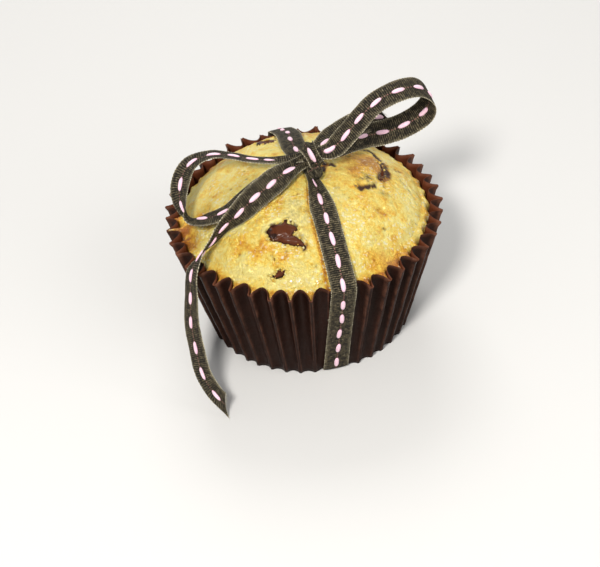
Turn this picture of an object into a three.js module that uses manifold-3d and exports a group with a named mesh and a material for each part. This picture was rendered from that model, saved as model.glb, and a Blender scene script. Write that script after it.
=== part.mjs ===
// A baked muffin with chocolate chunks in a fluted paper case, tied up with one length of ribbon in a bow.
// Millimetres, +Z up. The origin is the centre of the base, on the surface it stands on; -Y is its front.
import * as THREE from "three";
import { mergeVertices } from "three/addons/utils/BufferGeometryUtils.js";
import Module from "manifold-3d";

const wasm = await Module();
wasm.setup();

// Paper case: a cone pleated into flutes, with outward ridges and rounded inward troughs
const FLUTES = 44;
const CASE_HEIGHT = 36;
const RIDGE_RADIUS_RIM = 39;
const RIDGE_RADIUS_BASE = 29.5;
const FLUTE_DEPTH_RIM = 3.4;
const FLUTE_DEPTH_BASE = 1;
const TROUGH_RISE = 0.6; // the troughs end this much higher than the ridges
const PAPER = 0.35;
const CASE_STEPS = 6; // columns to a flute
const FLUTE_DRIFT = 0.07; // how far a ridge strays sideways, as a share of a flute
const FLUTE_UNEVENNESS = 0.1; // how much the depth differs from flute to flute
const HOLLOW_TOP = 1.04 * CASE_HEIGHT; // the form that hollows the case out runs on to here

// Muffin: fills the case, and domes above it
const EDGE_RADIUS = 34.5;
const EDGE_HEIGHT = 33;
const DOME_HEIGHT = 17;
const DOME_PLAN_POWER = 2.2;
const DOME_RISE_POWER = 0.7;
const CRUST_STEPS = 3; // columns to a flute
const DOME_ROWS = [78, 66, 54, 42, 30, 18, 7]; // degrees from the top of the dome
const FLUTE_FILL_BASE = 0.7; // how far the crumb reaches into a flute
const FLUTE_FILL_RIM = 2.1;
const FLUTE_FILL_TAPER = 2; // the crumb reaches into the outer half of a flute, and tapers off there
const EDGE_ROUNDING = 1.5; // height of the chamfer under the edge of the dome
const EDGE_SCALLOP = 0.5; // how far the edge of the dome bulges into each flute
const GAP = 0.3; // between touching pieces

// Ribbon: one flat strap of one width all round
const RIBBON_WIDTH = 6.8;
const RIBBON_THICKNESS = 0.45;
const STEP = 2.2; // length of ribbon to a step
const KNOT_CENTRE = [3, -1.8, 54.5];
const KNOT_RADII = [3.1, 4.6, 3.7];
const KNOT_LEAN = THREE.MathUtils.degToRad(20);
const GROOVE_ROOM = 1; // how much wider than the ribbon the groove under the case is

// The band round the muffin: its heading from above, and how far its top lies to the right of the centre
const BAND_HEADING = THREE.MathUtils.degToRad(-79);
const BAND_SHIFT = 2;
const BAND_GATHER = { from: 6, width: 2.6, growth: 0.44 }; // it narrows to this width in front of the knot
const PRESS_FRONT = 0.95; // how much of the flutes the band flattens
const PRESS_BACK = 0.55;
const PRESS_HALF_WIDTH = 5.5;
const PRESS_POWER = 4; // how squarely the pressed stretch ends at its sides
const PRESS_SLACK = 0.12; // the flutes under the band's edges stand up by this share of their depth
const BAND_REACH = 30; // the crust is under the band this far to either side of the middle
const BAND_SAMPLE = 1.5;
const BAND_RIM_BEND = { below: 1, inset: 0.6 }; // where the band turns in over the rim
const BAND_FOOT_BEND = { height: 1.6, out: 0.4, inset: 0.2 }; // where it turns in under the base

// Relief of the crust: [x, y, radius, height]
const CRUST_SWELLS = [
  [15, 2.5, 8.5, 1.1],
  [-5, -27, 7, 0.5],
  [-17, 10, 9, 0.6],
  [8, 20, 8, 0.5],
  [25, -14, 9, 0.4],
  [-29, -4, 5, -0.5],
];
const SWELL_POWER = 3;
const CRUST_FADE_POWER = 6; // the relief fades out towards the edge of the dome

// Low waves of the crust: [height, turn along x, turn along y, phase]
const CRUST_WAVES = [
  [0.125, 0.23, 0.19, 0.9],
  [0.125, 0.23, -0.19, 1.7],
  [0.12, 0.47, -0.61, 0],
];

// Chocolate: each chunk's place on the crust, and its outline from there in the crust's own plane
const CHUNK_DEPTH = 2;
const CHUNK_PROUD = 0.35;
const CHUNK_BEVEL = 0.3;
const CHUNKS = {
  chocolate_chunk_front: {
    at: [-5.5, -21.4],
    outline: [
      [-5.2, 0.8], [-3, 2.3], [-0.4, 2.4], [0.6, 4], [1.4, 2.4], [3.7, 1.2],
      [3.4, -1], [5, -2.6], [6.1, -4.3], [2.6, -4.2], [-0.5, -2.8], [-3.6, -2.1], [-5, -0.6],
    ],
  },
  chocolate_chunk_low: {
    at: [-8.2, -30.2],
    outline: [[-2.4, 0.9], [-0.9, 0.1], [0.6, 1], [2.2, 0.3], [1.7, -1.1], [-0.2, -1.5], [-1.9, -0.7]],
  },
  chocolate_chunk_right: {
    at: [21.5, 1.5],
    outline: [
      [-0.6, 6], [1.2, 4.2], [2.2, 1.2], [2, -2.4], [0.6, -5], [-2.6, -6.2], [-6, -6.4],
      [-5.6, -5], [-2.4, -4.6], [-0.6, -3.4], [0.2, -1], [0, 2], [-0.9, 4.4],
    ],
  },
  chocolate_chunk_back: {
    at: [-9, 19],
    outline: [[-3.4, 0.4], [-1.6, 2.2], [1, 1.8], [3.2, 0.6], [2.4, -1.7], [-0.4, -2.3], [-2.8, -1.5]],
  },
};

// Routes of the bow: each row is a point on the ribbon's middle line, then the direction across it there
const RIGHT_LOOP = [
  [3.5, -1, 55.5, -0.36, 0.88, 0.31],
  [8.5, -1, 56, -0.46, 0.85, 0.28],
  [13, 0, 60, -0.52, 0.83, 0.21],
  [17, 1.5, 64, -0.51, 0.84, 0.19],
  [21.5, 3.5, 67.5, -0.46, 0.86, 0.22],
  [28, 6, 69, -0.4, 0.85, 0.33],
  [33.5, 9, 67.5, -0.3, 0.87, 0.38],
  [37, 12, 62, -0.36, 0.78, 0.51],
  [35.5, 13.5, 56, -0.46, 0.66, 0.6],
  [30, 13, 52.5, -0.5, 0.57, 0.65],
  [23.5, 11.5, 51.5, -0.35, 0.61, 0.71],
  [18, 8.5, 52.5, -0.31, 0.7, 0.65],
  [13, 4, 53.5, -0.36, 0.81, 0.46],
  [4, -0.5, 54, -0.36, 0.88, 0.31],
];
const LEFT_LOOP = [
  [2, -1.5, 55, 0, 0.97, -0.24],
  [-5, -1, 54, 0, 0.94, -0.34],
  [-13, 1, 53.5, 0.05, 0.92, -0.38],
  [-19, 3.5, 53.5, 0, 0.93, -0.37],
  [-24.5, 4.5, 53.5, -0.2, 0.94, -0.29],
  [-30.5, 3.5, 51.5, -0.61, 0.76, -0.23],
  [-33.5, 0, 47.5, -0.8, 0.45, -0.39],
  [-33.5, -4.5, 44, -0.55, 0.63, -0.55],
  [-31.5, -8, 42, -0.2, 0.83, -0.52],
  [-27, -11, 43.5, -0.1, 0.96, -0.24],
  [-21.5, -12, 46, -0.1, 0.98, -0.16],
  [-16.5, -10.5, 48.5, -0.05, 0.99, -0.12],
  [-9, -6.5, 51.5, -0.05, 0.99, -0.12],
  [2, -2.5, 54, 0, 0.99, -0.13],
];
const LEFT_TAIL = [
  [2, -2, 54.5, -0.67, 0.63, 0.41],
  [-3.5, -6, 54, -0.65, 0.5, 0.57],
  [-8.5, -9.5, 52.5, -0.64, 0.42, 0.64],
  [-13, -13, 51, -0.61, 0.24, 0.76],
  [-17.5, -16.5, 49, -0.52, -0.1, 0.85],
  [-22, -18.5, 46, -0.33, -0.52, 0.79],
  [-25, -20.5, 43, -0.18, -0.66, 0.73],
  [-28, -22, 40.5, 0.1, -0.74, 0.67],
  [-31, -25.5, 37.5, 0.45, -0.76, 0.46],
  [-32, -28.5, 30.5, 0.55, -0.72, 0.43],
  [-32.5, -31, 24, 0.59, -0.61, 0.53],
  [-32, -33.5, 17, 0.61, -0.53, 0.59],
  [-31, -36.5, 10.5, 0.6, -0.41, 0.69],
  [-28.5, -40, 6.5, 0.58, -0.36, 0.73],
  [-26, -42.5, 4.4, 0.6, -0.42, 0.68],
];
const RIGHT_TAIL = [
  [3.5, 0, 55, -0.45, 0.83, 0.34],
  [9, 5, 55.5, -0.51, 0.76, 0.41],
  [15, 10, 55.5, -0.5, 0.64, 0.58],
  [21, 14.5, 54.5, -0.35, 0.61, 0.71],
  [25.5, 17, 53, -0.2, 0.64, 0.74],
];
const TAIL_CUT = 2.6; // how far the longer edge of a cut end reaches past the middle

const COLOURS = {
  crust: new THREE.MeshStandardMaterial({ color: 0xe3c064, roughness: 0.55, metalness: 0 }),
  paper: new THREE.MeshStandardMaterial({ color: 0x3a1c14, roughness: 0.7, metalness: 0 }),
  ribbon: new THREE.MeshStandardMaterial({ color: 0x37322a, roughness: 0.85, metalness: 0 }),
  chocolate: new THREE.MeshStandardMaterial({ color: 0x4a261b, roughness: 0.3, metalness: 0 }),
};

const lerp = THREE.MathUtils.lerp;
const clamp = THREE.MathUtils.clamp;

// A repeatable number from -1 to 1 for a whole number.
function unevenness(index, seed) {
  const value = Math.sin(index * 12.9898 + seed * 78.233) * 43758.5453;
  return 2 * (value - Math.floor(value)) - 1;
}

function toSolid(geometry) {
  const bare = geometry.clone();
  bare.deleteAttribute("normal");
  bare.deleteAttribute("uv");
  const merged = mergeVertices(bare, 1e-4);
  return new wasm.Manifold(
    new wasm.Mesh({
      numProp: 3,
      vertProperties: new Float32Array(merged.attributes.position.array),
      triVerts: new Uint32Array(merged.index.array),
    }),
  );
}

function toMesh(name, solid, material) {
  const mesh = solid.getMesh();
  const geometry = new THREE.BufferGeometry();
  geometry.setAttribute("position", new THREE.BufferAttribute(new Float32Array(mesh.vertProperties), 3));
  geometry.setIndex(new THREE.BufferAttribute(new Uint32Array(mesh.triVerts), 1));
  geometry.computeVertexNormals();
  const named = new THREE.Mesh(geometry, material);
  named.name = name;
  return named;
}

function indexedGeometry(points, indices) {
  const geometry = new THREE.BufferGeometry();
  geometry.setAttribute("position", new THREE.Float32BufferAttribute(points.flat(), 3));
  geometry.setIndex(indices);
  return geometry;
}

// A closed body from rings of points, lowest first and anticlockwise from above, with a fan at both ends.
function ringBody(rings, bottom, top) {
  const count = rings[0].length;
  const points = [...rings.flat(), bottom, top];
  const bottomIndex = points.length - 2;
  const topIndex = points.length - 1;
  const lastRing = (rings.length - 1) * count;
  const indices = [];
  for (let i = 0; i < count; i++) {
    const j = (i + 1) % count;
    indices.push(bottomIndex, j, i, topIndex, lastRing + i, lastRing + j);
    for (let r = 0; r < rings.length - 1; r++) {
      const low = r * count;
      const high = low + count;
      indices.push(low + i, low + j, high + j, low + i, high + j, high + i);
    }
  }
  return toSolid(indexedGeometry(points, indices));
}

const alongBand = [Math.cos(BAND_HEADING), Math.sin(BAND_HEADING)];
const acrossBand = [-alongBand[1], alongBand[0]];

function bandShift(z) {
  return BAND_SHIFT * clamp(z / CASE_HEIGHT, 0, 1);
}

// How much of the flute's depth is left at a place on the wall where the band presses on it.
function unpressed(x, y, z) {
  const along = x * alongBand[0] + y * alongBand[1];
  const across = x * acrossBand[0] + y * acrossBand[1] - bandShift(z);
  const press = along > 0 ? PRESS_FRONT : PRESS_BACK;
  return 1 - press * Math.exp(-((across / PRESS_HALF_WIDTH) ** PRESS_POWER));
}

// The wall at one flute coordinate, a whole number at each ridge: its direction, and its radii at height z.
function wallAt(flute, z) {
  const share = clamp(z, 0, HOLLOW_TOP) / CASE_HEIGHT;
  const ridge = Math.round(flute);
  const swing = Math.abs(Math.sin(Math.PI * flute));
  const shifted = flute + FLUTE_DRIFT * unevenness(ridge % FLUTES, 1) * (1 - swing);
  const angle = (2 * Math.PI * shifted) / FLUTES;
  const ridgeRadius = lerp(RIDGE_RADIUS_BASE, RIDGE_RADIUS_RIM, share);
  const fullDepth = lerp(FLUTE_DEPTH_BASE, FLUTE_DEPTH_RIM, share);
  const trough = ridgeRadius - fullDepth;
  const left = unpressed(ridgeRadius * Math.cos(angle), ridgeRadius * Math.sin(angle), z);
  const depth = fullDepth * left * (1 + FLUTE_UNEVENNESS * unevenness(ridge % FLUTES, 2));
  const steepness = (depth * Math.PI * Math.cos(Math.PI * flute)) / ((2 * Math.PI * ridgeRadius) / FLUTES);
  const slant = Math.sqrt(1 + steepness * steepness);
  return { angle, trough, slant, outer: trough + depth * (1 - swing), swing, left };
}

function polar(radius, angle, z) {
  return [radius * Math.cos(angle), radius * Math.sin(angle), z];
}

function wallRing(steps, z, radiusOf, heightOf = () => z) {
  return Array.from({ length: FLUTES * steps }, (_, i) => {
    const wall = wallAt(i / steps, z);
    return polar(radiusOf(wall), wall.angle, heightOf(wall));
  });
}

// Height of the crust above the base.
function crustHeight(x, y) {
  const share = clamp(Math.hypot(x, y) / EDGE_RADIUS, 0, 1);
  let height = EDGE_HEIGHT + DOME_HEIGHT * (1 - share ** DOME_PLAN_POWER) ** DOME_RISE_POWER;
  const fade = 1 - share ** CRUST_FADE_POWER;
  for (const [sx, sy, radius, swell] of CRUST_SWELLS) {
    const distance = Math.hypot(x - sx, y - sy) / radius;
    height += swell * fade * Math.exp(-(distance ** SWELL_POWER));
  }
  for (const [wave, alongX, alongY, phase] of CRUST_WAVES) {
    height += fade * wave * Math.sin(alongX * x + alongY * y + phase);
  }
  return height;
}

function crustNormal(x, y) {
  const reach = 0.8;
  const slopeX = (crustHeight(x + reach, y) - crustHeight(x - reach, y)) / (2 * reach);
  const slopeY = (crustHeight(x, y + reach) - crustHeight(x, y - reach)) / (2 * reach);
  return new THREE.Vector3(-slopeX, -slopeY, 1).normalize();
}

// A chunk's solid, bent to follow the crust, or with a margin the pocket it sits in.
function chunkBody({ at, outline }, margin) {
  const curve = new THREE.SplineCurve([...outline, outline[0]].map(([x, y]) => new THREE.Vector2(x, y)));
  const shape = new THREE.Shape(curve.getPoints(2 * outline.length).slice(0, -1));
  const geometry = new THREE.ExtrudeGeometry(shape, {
    depth: CHUNK_DEPTH - 2 * CHUNK_BEVEL + 2 * margin,
    bevelThickness: CHUNK_BEVEL,
    bevelSize: CHUNK_BEVEL,
    bevelOffset: margin - CHUNK_BEVEL,
    bevelSegments: 1,
  });
  geometry.translate(0, 0, CHUNK_PROUD - CHUNK_DEPTH + CHUNK_BEVEL - margin);
  const normal = crustNormal(...at);
  const rightwards = new THREE.Vector3(0, 1, 0).cross(normal).normalize();
  const upwards = normal.clone().cross(rightwards);
  const vertices = geometry.attributes.position;
  for (let i = 0; i < vertices.count; i++) {
    const spot = new THREE.Vector3(at[0], at[1], 0)
      .addScaledVector(rightwards, vertices.getX(i))
      .addScaledVector(upwards, vertices.getY(i));
    spot.z = crustHeight(spot.x, spot.y);
    spot.addScaledVector(normal, vertices.getZ(i));
    vertices.setXYZ(i, spot.x, spot.y, spot.z);
  }
  return toSolid(geometry);
}

// A long box under the base along the band, from below the base up to a height.
function slotUnderBase(width, height) {
  const below = 5;
  const box = new THREE.BoxGeometry(3 * RIDGE_RADIUS_RIM, width, height + below);
  box.translate(0, 0, (height - below) / 2);
  box.rotateZ(BAND_HEADING);
  return toSolid(box);
}

const grooveHeight = RIBBON_THICKNESS + GAP;
const grooveWidth = RIBBON_WIDTH + GROOVE_ROOM;

function paperCase() {
  const rim = wallRing(CASE_STEPS, CASE_HEIGHT, (w) => w.outer, (w) => CASE_HEIGHT + TROUGH_RISE * w.swing);
  const foot = wallRing(CASE_STEPS, 0, (w) => w.outer);
  const outside = ringBody([foot, rim], [0, 0, 0], [0, 0, CASE_HEIGHT]);
  const lining = (w) => w.outer - PAPER * w.slant;
  const opening = wallRing(CASE_STEPS, HOLLOW_TOP, lining);
  const floor = wallRing(CASE_STEPS, PAPER, lining);
  const inside = ringBody([floor, opening], [0, 0, PAPER], [0, 0, HOLLOW_TOP]);
  const hump = slotUnderBase(grooveWidth + 2 * PAPER, grooveHeight + PAPER);
  return outside.subtract(slotUnderBase(grooveWidth, grooveHeight)).subtract(inside.subtract(hump));
}

function muffinBody() {
  const side = (z) =>
    wallRing(CRUST_STEPS, z, (w) => {
      const reach = lerp(FLUTE_FILL_BASE, FLUTE_FILL_RIM, z / CASE_HEIGHT) * w.left;
      return w.trough - PAPER - GAP + reach * clamp(1 - FLUTE_FILL_TAPER * w.swing, 0, 1);
    });
  const dome = DOME_ROWS.map((degrees, row) => {
    const lean = THREE.MathUtils.degToRad(degrees);
    const radius = EDGE_RADIUS * Math.sin(lean) ** (2 / DOME_PLAN_POWER);
    const scallop = row === 0 ? EDGE_SCALLOP : 0;
    return wallRing(CRUST_STEPS, EDGE_HEIGHT, (w) => radius + scallop * (1 - w.swing) * w.left);
  });
  for (const ring of dome) {
    for (const point of ring) point[2] = crustHeight(point[0], point[1]);
  }
  const start = PAPER + GAP;
  const body = ringBody(
    [side(start), side(EDGE_HEIGHT - EDGE_ROUNDING), side(EDGE_HEIGHT), ...dome],
    [0, 0, start],
    [0, 0, crustHeight(0, 0)],
  );
  const width = grooveWidth + 2 * PAPER + 2 * GAP;
  return body.subtract(slotUnderBase(width, grooveHeight + PAPER + GAP));
}

// Stations along a smooth line through a route's rows.
function smoothRoute(rows) {
  const middle = new THREE.CatmullRomCurve3(rows.map(([x, y, z]) => new THREE.Vector3(x, y, z)));
  const across = new THREE.CatmullRomCurve3(rows.map((row) => new THREE.Vector3(...row.slice(3))));
  const steps = Math.ceil(middle.getLength() / STEP);
  return Array.from({ length: steps + 1 }, (_, i) => ({
    point: middle.getPoint(i / steps),
    heading: middle.getTangent(i / steps),
    across: across.getPoint(i / steps).normalize(),
    width: RIBBON_WIDTH,
    thickness: RIBBON_THICKNESS,
    skew: 0,
  }));
}

// A cut end is slanted: the far edge stops short, and the near edge runs on.
function cutEnd(stations) {
  const last = stations[stations.length - 1];
  last.skew = TAIL_CUT;
  stations[stations.length - 2].skew = TAIL_CUT / 2;
  return stations;
}

// A strap swept through its stations, with square edges; it is a closed ring or has two ends.
function strap(stations, closed = false) {
  const points = stations.flatMap(({ point, heading, across, width, thickness, skew }) => {
    const face = heading.clone().cross(across).normalize();
    const corner = (side, up) =>
      point
        .clone()
        .addScaledVector(across, (side * width) / 2)
        .addScaledVector(face, (up * thickness) / 2)
        .addScaledVector(heading, -side * skew)
        .toArray();
    return [corner(-1, -1), corner(1, -1), corner(1, 1), corner(-1, 1)];
  });
  const count = stations.length;
  const indices = [];
  for (let i = 0; i < (closed ? count : count - 1); i++) {
    for (let k = 0; k < 4; k++) {
      const a = 4 * i + k;
      const b = 4 * i + ((k + 1) % 4);
      const c = 4 * ((i + 1) % count) + ((k + 1) % 4);
      const d = 4 * ((i + 1) % count) + k;
      indices.push(a, b, c, a, c, d);
    }
  }
  if (!closed) {
    const end = 4 * (count - 1);
    indices.push(0, 2, 1, 0, 3, 2, end, end + 1, end + 2, end, end + 2, end + 3);
  }
  return toSolid(indexedGeometry(points, indices));
}

// The outline that a taut band makes round a set of [along, height] points.
function tautOutline(points) {
  const sorted = [...points].sort((a, b) => a[0] - b[0] || a[1] - b[1]);
  const turn = (o, a, b) => (a[0] - o[0]) * (b[1] - o[1]) - (a[1] - o[1]) * (b[0] - o[0]);
  const chain = (list) => {
    const kept = [];
    for (const p of list) {
      while (kept.length > 1 && turn(kept[kept.length - 2], kept[kept.length - 1], p) <= 0) kept.pop();
      kept.push(p);
    }
    return kept.slice(0, -1);
  };
  return [...chain(sorted), ...chain(sorted.reverse())];
}

function bandPoint(along, z) {
  const shift = bandShift(z);
  return [along * alongBand[0] + shift * acrossBand[0], along * alongBand[1] + shift * acrossBand[1]];
}

// The band: taut over the crust, down both sides on the flattened flutes, and flat under the base.
function band() {
  const clearance = GAP + RIBBON_THICKNESS / 2;
  const profile = [];
  for (let along = -BAND_REACH; along <= BAND_REACH; along += BAND_SAMPLE) {
    const heights = [-0.5, -0.25, 0, 0.25, 0.5].map((side) => {
      const [x, y] = bandPoint(along, CASE_HEIGHT);
      return crustHeight(x + side * RIBBON_WIDTH * acrossBand[0], y + side * RIBBON_WIDTH * acrossBand[1]);
    });
    profile.push([along, Math.max(...heights) + clearance]);
  }
  for (const side of [-1, 1]) {
    const flattened = (side > 0 ? PRESS_FRONT : PRESS_BACK) - PRESS_SLACK;
    const rim = RIDGE_RADIUS_RIM - FLUTE_DEPTH_RIM * flattened + clearance;
    const foot = RIDGE_RADIUS_BASE - FLUTE_DEPTH_BASE * flattened + clearance;
    profile.push(
      [side * rim, CASE_HEIGHT - BAND_RIM_BEND.below],
      [side * (rim - BAND_RIM_BEND.inset), CASE_HEIGHT + TROUGH_RISE + clearance],
      [side * (foot + BAND_FOOT_BEND.out), BAND_FOOT_BEND.height],
      [side * (foot - BAND_FOOT_BEND.inset), RIBBON_THICKNESS / 2],
    );
  }
  const outline = tautOutline(profile);
  const stations = [];
  outline.forEach((from, i) => {
    const to = outline[(i + 1) % outline.length];
    const parts = Math.max(1, Math.round(Math.hypot(to[0] - from[0], to[1] - from[1]) / (2 * STEP)));
    for (let k = 0; k < parts; k++) {
      const along = lerp(from[0], to[0], k / parts);
      const z = lerp(from[1], to[1], k / parts);
      const [x, y] = bandPoint(along, z);
      const front = z > CASE_HEIGHT && along > 0;
      const gathered = BAND_GATHER.width + BAND_GATHER.growth * Math.max(0, along - BAND_GATHER.from);
      const width = front ? Math.min(RIBBON_WIDTH, gathered) : RIBBON_WIDTH;
      stations.push({ point: new THREE.Vector3(x, y, z), width });
    }
  });
  const count = stations.length;
  const across = new THREE.Vector3(acrossBand[0], acrossBand[1], 0);
  stations.forEach((station, i) => {
    const before = stations[(i + count - 1) % count].point;
    const after = stations[(i + 1) % count].point;
    station.heading = after.clone().sub(before).normalize();
    station.across = across.clone().negate();
    station.thickness = RIBBON_THICKNESS;
    station.skew = 0;
  });
  return strap(stations, true);
}

function knot() {
  const body = new THREE.SphereGeometry(1, 16, 10);
  body.scale(...KNOT_RADII);
  body.rotateX(KNOT_LEAN);
  body.translate(...KNOT_CENTRE);
  return toSolid(body);
}

function ribbon() {
  return [
    knot(),
    strap(smoothRoute(RIGHT_LOOP)),
    strap(smoothRoute(LEFT_LOOP)),
    strap(cutEnd(smoothRoute(LEFT_TAIL))),
    strap(cutEnd(smoothRoute(RIGHT_TAIL))),
  ].reduce((joined, piece) => joined.add(piece), band());
}

const muffin = new THREE.Group();
muffin.name = "muffin_in_case";
let crumb = muffinBody();
for (const [name, chunk] of Object.entries(CHUNKS)) {
  crumb = crumb.subtract(chunkBody(chunk, GAP));
  muffin.add(toMesh(name, chunkBody(chunk, 0), COLOURS.chocolate));
}
muffin.add(toMesh("muffin", crumb, COLOURS.crust));
muffin.add(toMesh("paper_case", paperCase(), COLOURS.paper));
muffin.add(toMesh("ribbon", ribbon(), COLOURS.ribbon));

export default muffin;
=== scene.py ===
"""A baked muffin with chocolate chunks in a fluted paper case, tied up with a stitched ribbon in a bow.

Shapes are worked out in millimetres and become metres when a mesh is made. +Z is up and -Y is the front.
"""

import logging
import math
from collections.abc import Callable
from dataclasses import dataclass, field
from enum import Enum
from typing import Any

import bpy
import numpy as np
from mathutils import Matrix, Vector
from mathutils.geometry import delaunay_2d_cdt
from mathutils.kdtree import KDTree


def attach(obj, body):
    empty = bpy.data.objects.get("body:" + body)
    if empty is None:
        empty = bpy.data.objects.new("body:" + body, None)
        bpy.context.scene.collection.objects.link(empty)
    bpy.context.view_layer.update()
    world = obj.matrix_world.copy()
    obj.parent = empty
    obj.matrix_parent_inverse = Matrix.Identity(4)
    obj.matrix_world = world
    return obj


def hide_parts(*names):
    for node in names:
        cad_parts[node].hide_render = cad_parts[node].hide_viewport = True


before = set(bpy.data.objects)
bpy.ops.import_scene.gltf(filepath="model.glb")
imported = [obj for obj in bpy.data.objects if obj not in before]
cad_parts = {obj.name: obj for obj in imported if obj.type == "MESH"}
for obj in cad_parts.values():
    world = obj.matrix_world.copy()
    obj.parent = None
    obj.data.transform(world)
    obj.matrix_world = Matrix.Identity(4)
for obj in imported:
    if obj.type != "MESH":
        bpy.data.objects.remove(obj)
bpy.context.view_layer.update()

LOG = logging.getLogger("muffin")
Array = np.ndarray
Material, Piece = bpy.types.Material, bpy.types.Object
Socket, NodeTree = bpy.types.NodeSocket, bpy.types.NodeTree
Numbers = tuple[float, ...]
Colour = Numbers
Rows = tuple[Numbers, ...]
MM = 0.001
TURN = 2 * math.pi
TO_CAMERA = np.array([0, -0.7547, 0.6561])


# Numbers and noise


def srgb(red: float, green: float, blue: float) -> Colour:
    """Turns a display colour into a linear one.

    Args:
        red: From 0 to 255.
        green: From 0 to 255.
        blue: From 0 to 255.

    Returns:
        The linear colour with an alpha of 1.
    """
    shares = [channel / 255 for channel in (red, green, blue)]
    return (*(s / 12.92 if s <= 0.04045 else ((s + 0.055) / 1.055) ** 2.4 for s in shares), 1.0)


def smooth_step(low: float, high: float, value: Array) -> Array:
    """Rises smoothly from 0 where value is low to 1 where it is high."""
    share = np.clip((value - low) / (high - low), 0, 1)
    return share * share * (3 - 2 * share)


def hump(away: Array, width: float, power: float = 2.0) -> Array:
    """1 where away is 0, and falls smoothly to 0 past the width; a higher power has steeper sides."""
    return np.exp(-((np.abs(away) / width) ** power))


def unit(vectors: Array) -> Array:
    """Scales each vector to a length of 1."""
    return vectors / np.maximum(np.linalg.norm(vectors, axis=-1, keepdims=True), 1e-9)


def together(*parts: Any) -> Array:
    """Joins arrays or numbers into one array of rows, such as points or corners."""
    return np.stack(np.broadcast_arrays(*parts), -1)


def turns(count: int) -> Array:
    """Angles at even steps round a full turn."""
    return np.arange(count) * TURN / count


def running_lengths(points: Array) -> Array:
    """Length along a line at each of its points."""
    return np.concatenate([[0], np.cumsum(np.linalg.norm(np.diff(points, axis=0), axis=1))])


def unevenness(index: Array, seed: float) -> Array:
    """Gives a repeatable number from -1 to 1 for each whole number."""
    value = np.sin(index * 12.9898 + seed * 78.233) * 43758.5453
    return 2 * (value - np.floor(value)) - 1


def lattice(cells: Array, seed: int) -> Array:
    """Gives a repeatable number from -1 to 1 for each cell of a grid.

    Args:
        cells: Whole numbers, three to a cell.
        seed: Picks one of many such grids.

    Returns:
        One number for each cell.
    """
    mixed = cells[..., 0] * 73856093 ^ cells[..., 1] * 19349663 ^ cells[..., 2] * 83492791 ^ seed * 374761393
    mixed = (mixed & 0xFFFFFFFF) * 1274126177 & 0xFFFFFFFF
    mixed = (mixed ^ (mixed >> 15)) * 668265263 & 0xFFFFFFFF
    return (mixed ^ (mixed >> 13)) / 2147483647.5 - 1


def noise(points: Array, cell: float, seed: int, octaves: int = 1) -> Array:
    """Smooth noise in space.

    Args:
        points: Places in millimetres.
        cell: Size of the largest lumps.
        seed: Picks one of many patterns.
        octaves: How many sizes are added up, each half as large as the last.

    Returns:
        One number for each point, mostly from -1 to 1.
    """
    total = np.zeros(points.shape[:-1])
    for octave in range(octaves):
        spots = points * (2**octave / cell)
        low = np.floor(spots).astype(np.int64)
        part = spots - low
        part = part**3 * (part * (part * 6 - 15) + 10)
        for corner in np.ndindex(2, 2, 2):
            step = np.array(corner)
            weight = np.prod(np.where(step == 1, part, 1 - part), axis=-1)
            total += weight * lattice(low + step, seed + 31 * octave) / 2**octave
    return total


def smooth_line(rows: Array, shares: Array) -> Array:
    """A centripetal Catmull-Rom line through rows of numbers.

    Args:
        rows: The points that it goes through, in order.
        shares: Places along it, 0 at the first point and 1 at the last.

    Returns:
        One row for each share.
    """
    padded = np.vstack([2 * rows[0] - rows[1], rows, 2 * rows[-1] - rows[-2]])
    spot = np.clip(shares, 0, 1) * (len(rows) - 1)
    first = np.minimum(spot.astype(int), len(rows) - 2)
    t = (spot - first)[:, None]
    p0, p1, p2, p3 = (padded[first + k] for k in range(4))
    gaps = (np.sqrt(np.linalg.norm(b - a, axis=1, keepdims=True)) for a, b in ((p0, p1), (p1, p2), (p2, p3)))
    gap0, gap1, gap2 = gaps
    gap1 = np.where(gap1 < 1e-4, 1.0, gap1)
    gap0, gap2 = np.where(gap0 < 1e-4, gap1, gap0), np.where(gap2 < 1e-4, gap1, gap2)
    leave = gap1 * ((p1 - p0) / gap0 - (p2 - p0) / (gap0 + gap1) + (p2 - p1) / gap1)
    arrive = gap1 * ((p2 - p1) / gap1 - (p3 - p1) / (gap1 + gap2) + (p3 - p2) / gap2)
    cubic = 2 * p1 - 2 * p2 + leave + arrive
    square = 3 * p2 - 3 * p1 - 2 * leave - arrive
    return ((cubic * t + square) * t + leave) * t + p1


def line_distance(x: Array, y: Array, line: Array) -> Array:
    """Distance from places to a line in the plane.

    Args:
        x: First coordinate of each place.
        y: Second coordinate of each place.
        line: The line's points.

    Returns:
        One distance for each place.
    """
    nearest = np.full(x.shape, np.inf)
    for start, end in zip(line[:-1], line[1:]):
        run = end - start
        share = np.clip(((x - start[0]) * run[0] + (y - start[1]) * run[1]) / (run @ run), 0, 1)
        nearest = np.minimum(nearest, np.hypot(x - start[0] - share * run[0], y - start[1] - share * run[1]))
    return nearest


def inside(x: Array, y: Array, loop: Array) -> Array:
    """Tells which places are inside a closed loop in the plane.

    Args:
        x: First coordinate of each place.
        y: Second coordinate of each place.
        loop: The loop's points, the first not repeated at the end.

    Returns:
        True or False for each place.
    """
    found = np.zeros(x.shape, bool)
    for start, end in zip(loop, np.roll(loop, -1, axis=0)):
        if start[1] != end[1]:
            crosses = (start[1] > y) != (end[1] > y)
            found ^= crosses & (x < start[0] + (y - start[1]) * (end[0] - start[0]) / (end[1] - start[1]))
    return found


# Meshes


def grid_faces(rows: int, columns: int, closed: bool = False, first: int = 0) -> Array:
    """Quads between the points of a grid whose rows close on themselves.

    Args:
        rows: Number of rows.
        columns: Number of points to a row.
        closed: Whether the last row joins the first.
        first: Index of the first point.

    Returns:
        Four indices to a quad.
    """
    row, column = np.meshgrid(np.arange(rows if closed else rows - 1), np.arange(columns), indexing="ij")
    here, there = row * columns, (row + 1) % rows * columns
    beside = (column + 1) % columns
    return together(here + column, here + beside, there + beside, there + column).reshape(-1, 4) + first


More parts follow.
